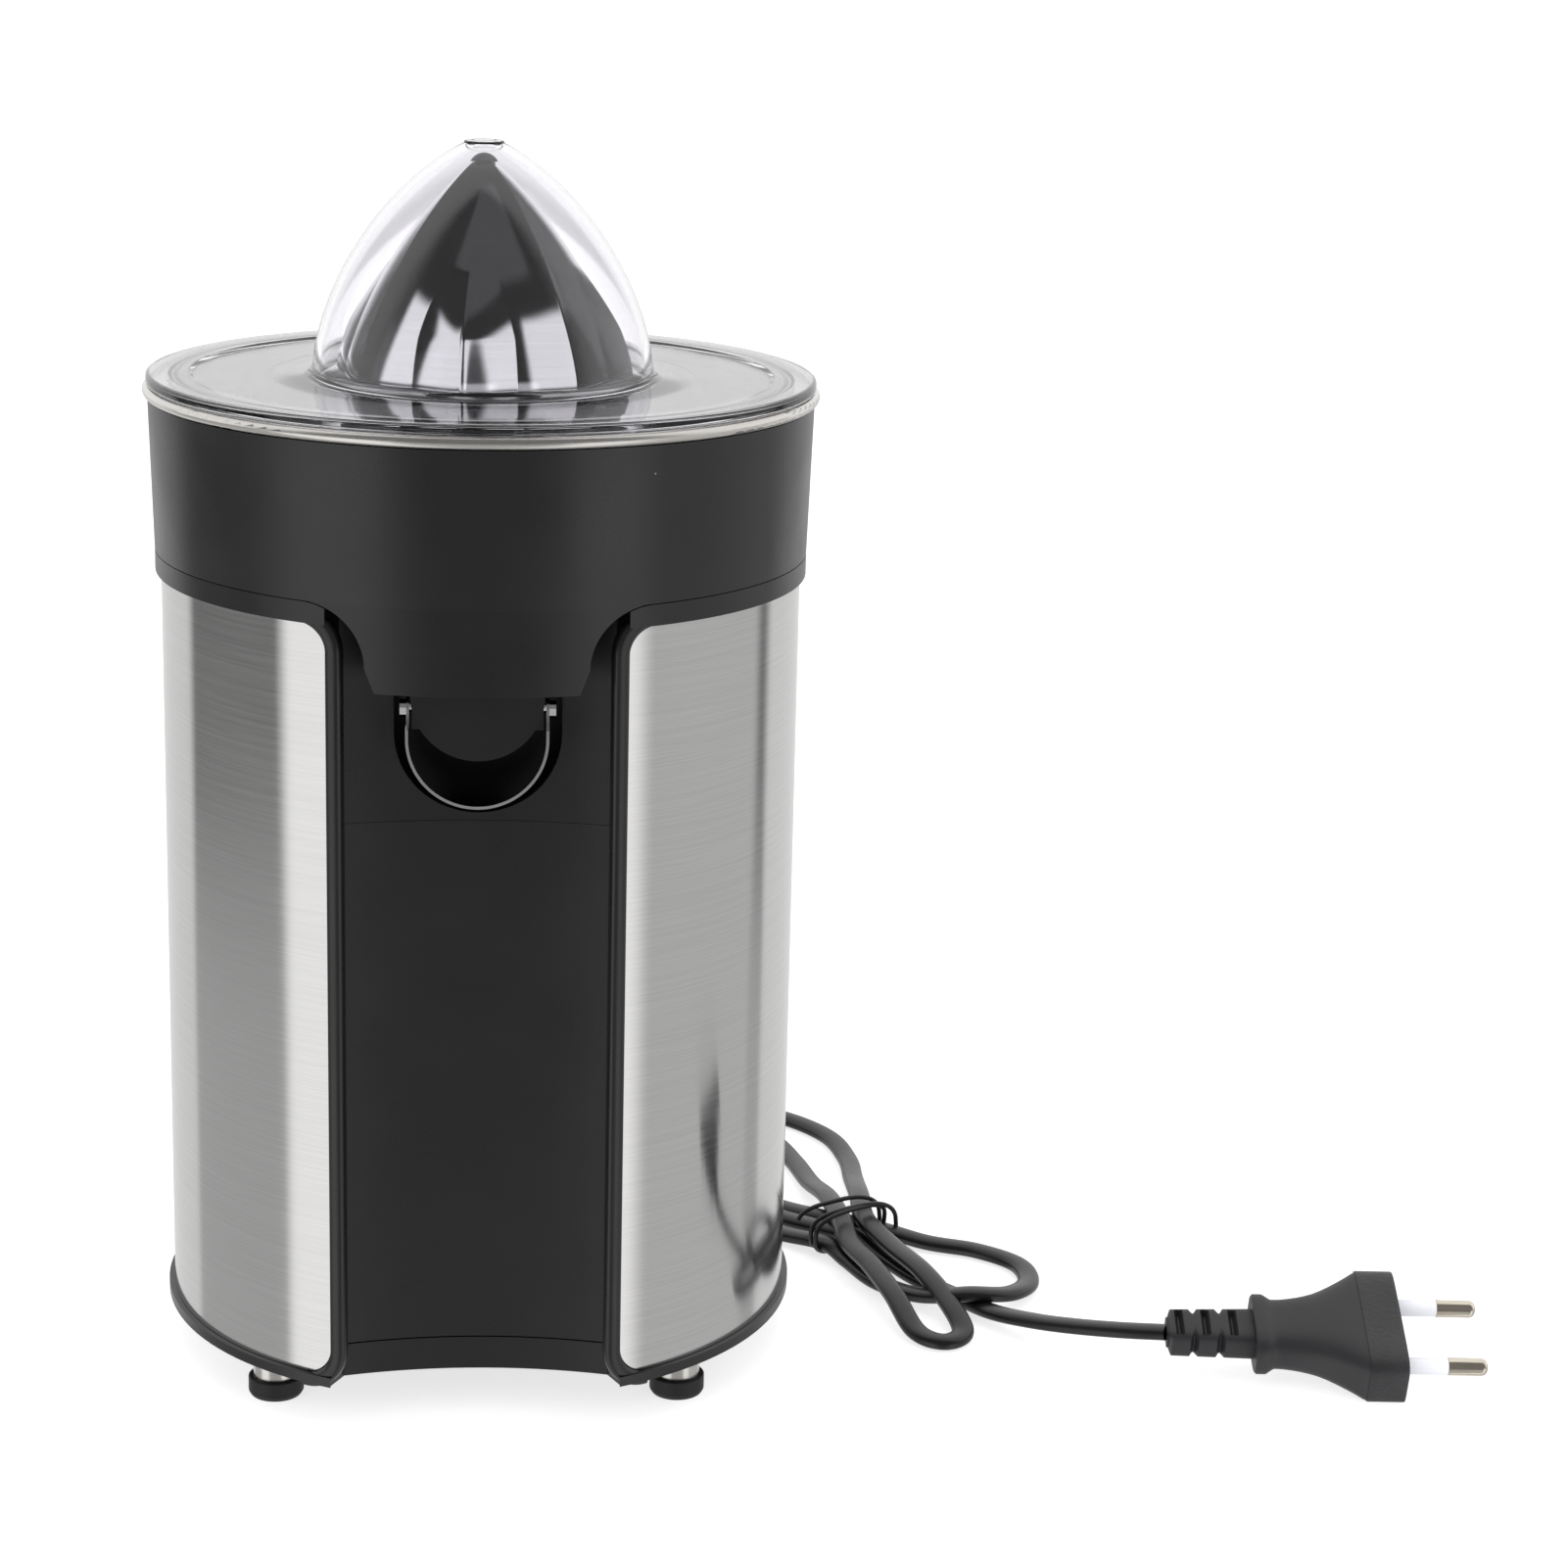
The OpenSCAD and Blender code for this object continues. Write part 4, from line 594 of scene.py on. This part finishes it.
def buildLid(s):
    seat, t = s["seat"], s["plate"]
    deck = seat + t
    rim = roundCorners([[s["dome"] + 9, seat], [s["skirt"][0], seat], [s["skirt"][0], seat - s["skirtDrop"]],
                        [s["skirt"][1], seat - s["skirtDrop"]], [s["skirt"][1], seat], [s["radius"], seat],
                        [s["radius"], s["ringTop"]], [s["ringIn"], s["ringTop"]], [s["ringIn"] - 0.9, deck],
                        [s["dome"] + 9, deck]], [0.02, 0.4, 0.3, 0.3, 0.3, 0.5, 0.8, 0.4, 0.5, 0.02], 5)
    # the foot's fillet, then the dome, then the button
    f = np.linspace(np.pi, np.pi / 2, 7)
    filletR = 1.6
    fillet = np.stack([s["dome"] + filletR + filletR * np.cos(f),
                       deck + filletR - filletR * np.sin(f)], 1)[::-1]
    outer = domeOutline(s["dome"], s["domeHeight"], seat, deck + filletR, 271.9)
    top, b = s["top"], s["button"]
    button = roundCorners([[0, 271], [b, 271], [b, top - 0.1], [b - 1.6, top], [b - 1.8, top - 0.2],
                           [b - 2.0, top], [0, top]], [0, 0, 0.4, 0.1, 0.1, 0.1, 0], 6)
    button = button[(button[:, 1] > 271.9) & (button[:, 0] > 1e-6)]
    axis = [[0, s["top"]], [0, seat + s["domeHeight"] - 2.7]]
    inner = domeOutline(s["dome"] - t, s["domeHeight"] - 2.0, seat, seat, seat + s["domeHeight"] - 2.9)[::-1]
    start = np.argmin(np.abs(rim[:, 0] - s["dome"] - 9) + (rim[:, 1] > seat + 0.1) * 99)
    rim = np.roll(rim, -start, 0)
    rim = rim[rim[:, 0] > s["dome"] + 4]
    outline = np.concatenate([rim, fillet, outer, button, axis, inner])
    return gridPiece("clearLid", revolve(outline, 220), clearPlastic, "lid", ("lid",),
                     wrapU=True, wrapV=True, sharp=40)


buildLid(lid)
print("lid moulded")

# rubber caps with rounded bottoms
foot = {"x": 44.5, "y": 42.0, "radius": 6.1, "bottom": 5.5, "height": 4.5, "bore": 5.0, "floor": 1.5}


# one cap's outline goes up the outside, over the rim and down the bore, and is carried round each foot
def buildFeet(s):
    outline = roundCorners([[0, 0], [s["bottom"], 0], [s["radius"], 1.0], [s["radius"], s["height"]],
                            [s["bore"], s["height"]], [s["bore"], s["floor"]], [0, s["floor"]]],
                           [0, 0.5, 0.8, 0.35, 0.2, 0.2, 0], 5)
    outline = outline[outline[:, 0] > 1e-6]
    outline = np.concatenate([[[0, 0]], outline, [[0, s["floor"]]]])
    cap = revolve(outline, 64)
    for i, (sx, sy) in enumerate(((-1, -1), (1, -1), (-1, 1), (1, 1))):
        place = np.array([sx * s["x"], sy * s["y"], 0])
        gridPiece("footCap%d" % i, cap + place, rubber, "base", ("foot_caps",) if i == 0 else (),
                  wrapU=True, sharp=45)


buildFeet(foot)
print("feet capped")

# a pale floor, and the power of each lamp in watts
studio = {"floorSize": 8.0, "floorTone": 0.42, "floorGlow": 0.72, "key": 5.0, "fill": 3.0, "top": 4.0}


def addFloor(s):
    bpy.ops.mesh.primitive_plane_add(size=s["floorSize"])
    floor = bpy.context.object
    floor.name = "floor"
    floor.visible_glossy = False
    material, tree, shader = newMaterial("paleFloor")
    tone = s["floorTone"]
    tintFrom(tree, shader, grainNoise(tree, (6, 6, 6), 2), (tone,) * 3, (tone + 0.02,) * 3)
    setInputs(shader, **{"Roughness": 0.9, "Emission Color": (1, 1, 1, 1),
                         "Emission Strength": s["floorGlow"]})
    floor.data.materials.append(material)


# low lights round the stand, in degrees from the front towards the right, each with its brightness: a
# bright panel on each side of a dark front, a grey screen on the right and pale walls behind
lowLights = {"leftPanel": (-75, -30, 1.2), "rightPanel": (30, 60, 1.2), "greyScreen": (60, 120, 0.6),
             "wallFrom": 120, "wall": 0.8, "dark": 0.2, "table": 0.5, "soft": 5}


# one between low and high, fading across each end over twice the softness
def softBand(tree, value, low, high, soft):
    rise = remap(tree, value, low - soft, low + soft)
    fall = remap(tree, value, high - soft, high + soft, 1.0, 0.0)
    return mathNode(tree, "MULTIPLY", rise, fall)


# the room as reflections see it: two soft boxes low on the left and right of a dark front, a pale
# wall behind, and the low lights under the horizon; everything else sees an even white room
def addWorld():
    world = bpy.data.worlds.new("studio")
    bpy.context.scene.world = world
    world.use_nodes = True
    world.cycles.sampling_method = "NONE"
    tree = world.node_tree
    tree.nodes.clear()
    place = addNode(tree, "ShaderNodeTexCoord")
    split = addNode(tree, "ShaderNodeSeparateXYZ")
    tree.links.new(place.outputs["Generated"], split.inputs[0])
    x, y, z = split.outputs

    def times(a, b):
        return mathNode(tree, "MULTIPLY", a, b)

    def plus(*terms):
        total = terms[0]
        for term in terms[1:]:
            total = mathNode(tree, "ADD", total, term)
        return total

    def blend(a, b, share):
        return plus(times(a, mathNode(tree, "SUBTRACT", 1.0, share)), times(b, share))

    toDegrees = 57.2958
    azimuth = times(mathNode(tree, "ARCTAN2", x, times(y, -1.0)), toDegrees)
    height = times(mathNode(tree, "ARCSINE", z), toDegrees)
    wide = mathNode(tree, "ABSOLUTE", azimuth)
    leftBox = times(softBand(tree, azimuth, -66, -20, 2), softBand(tree, height, 3, 42, 2))
    rightBox = times(softBand(tree, azimuth, 24, 68, 2), softBand(tree, height, 3, 42, 2))
    frontStrip = times(remap(tree, wide, 30, 24), softBand(tree, height, -5, 11, 3))
    wall = times(remap(tree, wide, 146, 164), softBand(tree, height, -4, 34, 8))
    ceiling = times(remap(tree, wide, 46, 38), softBand(tree, height, 54, 84, 2))
    path = addNode(tree, "ShaderNodeLightPath")
    inLid = plus(times(leftBox, 1.1), times(rightBox, 1.05), times(frontStrip, 0.5), wall,
                 times(ceiling, 0.06), 0.02)
    # outside the clear lid the room is pale round the sides and back
    openRoom = plus(times(remap(tree, wide, 58, 84), 0.85), 0.2)
    above = blend(inLid, openRoom, mathNode(tree, "LESS_THAN", path.outputs["Transmission Depth"], 2.5))
    low = lowLights
    panels = [times(softBand(tree, azimuth, start, end, low["soft"]), level)
              for start, end, level in (low["leftPanel"], low["rightPanel"], low["greyScreen"])]
    walls = times(remap(tree, wide, low["wallFrom"], low["wallFrom"] + 10), low["wall"])
    # lower down the pale table top lifts the dark
    ground = remap(tree, height, -18, -14, low["table"], low["dark"])
    below = mathNode(tree, "MAXIMUM", plus(*panels, walls), ground)
    mirrored = blend(below, above, remap(tree, height, -4, -1))
    # glossy depth, so that what the reamer mirrors stays the same behind the clear lid
    bounced = mathNode(tree, "MAXIMUM", mathNode(tree, "GREATER_THAN", path.outputs["Glossy Depth"], 0.5),
                       path.outputs["Is Glossy Ray"])
    seen = times(bounced, mathNode(tree, "LESS_THAN", path.outputs["Diffuse Depth"], 0.5))
    light = blend(plus(times(path.outputs["Is Camera Ray"], -0.1), 1.15), mirrored, seen)
    background = addNode(tree, "ShaderNodeBackground")
    background.inputs["Color"].default_value = (1, 1, 1, 1)
    tree.links.new(light, background.inputs["Strength"])
    output = addNode(tree, "ShaderNodeOutputWorld")
    tree.links.new(background.outputs[0], output.inputs[0])


def addLight(name, power, size, place, target):
    data = bpy.data.lights.new(name, "AREA")
    data.energy, data.shape, data.size, data.size_y = power, "RECTANGLE", *size
    lamp = bpy.data.objects.new(name, data)
    lamp.location = place
    aim = Matrix.Translation(target).translation - Matrix.Translation(place).translation
    lamp.rotation_euler = aim.to_track_quat("-Z", "Y").to_euler()
    lamp.visible_glossy = False
    lamp.visible_transmission = False
    bpy.context.scene.collection.objects.link(lamp)


addFloor(studio)
addWorld()
addLight("keyLeft", studio["key"], (1.0, 1.0), (-1.1, -1.2, 1.0), (0, 0, 0.12))
addLight("fillRight", studio["fill"], (1.0, 1.0), (1.2, -1.0, 0.9), (0, 0, 0.12))
addLight("softTop", studio["top"], (1.6, 1.6), (0, 0.1, 1.6), (0, 0, 0))
bpy.context.scene.view_settings.view_transform = "Standard"
print("studio lit")
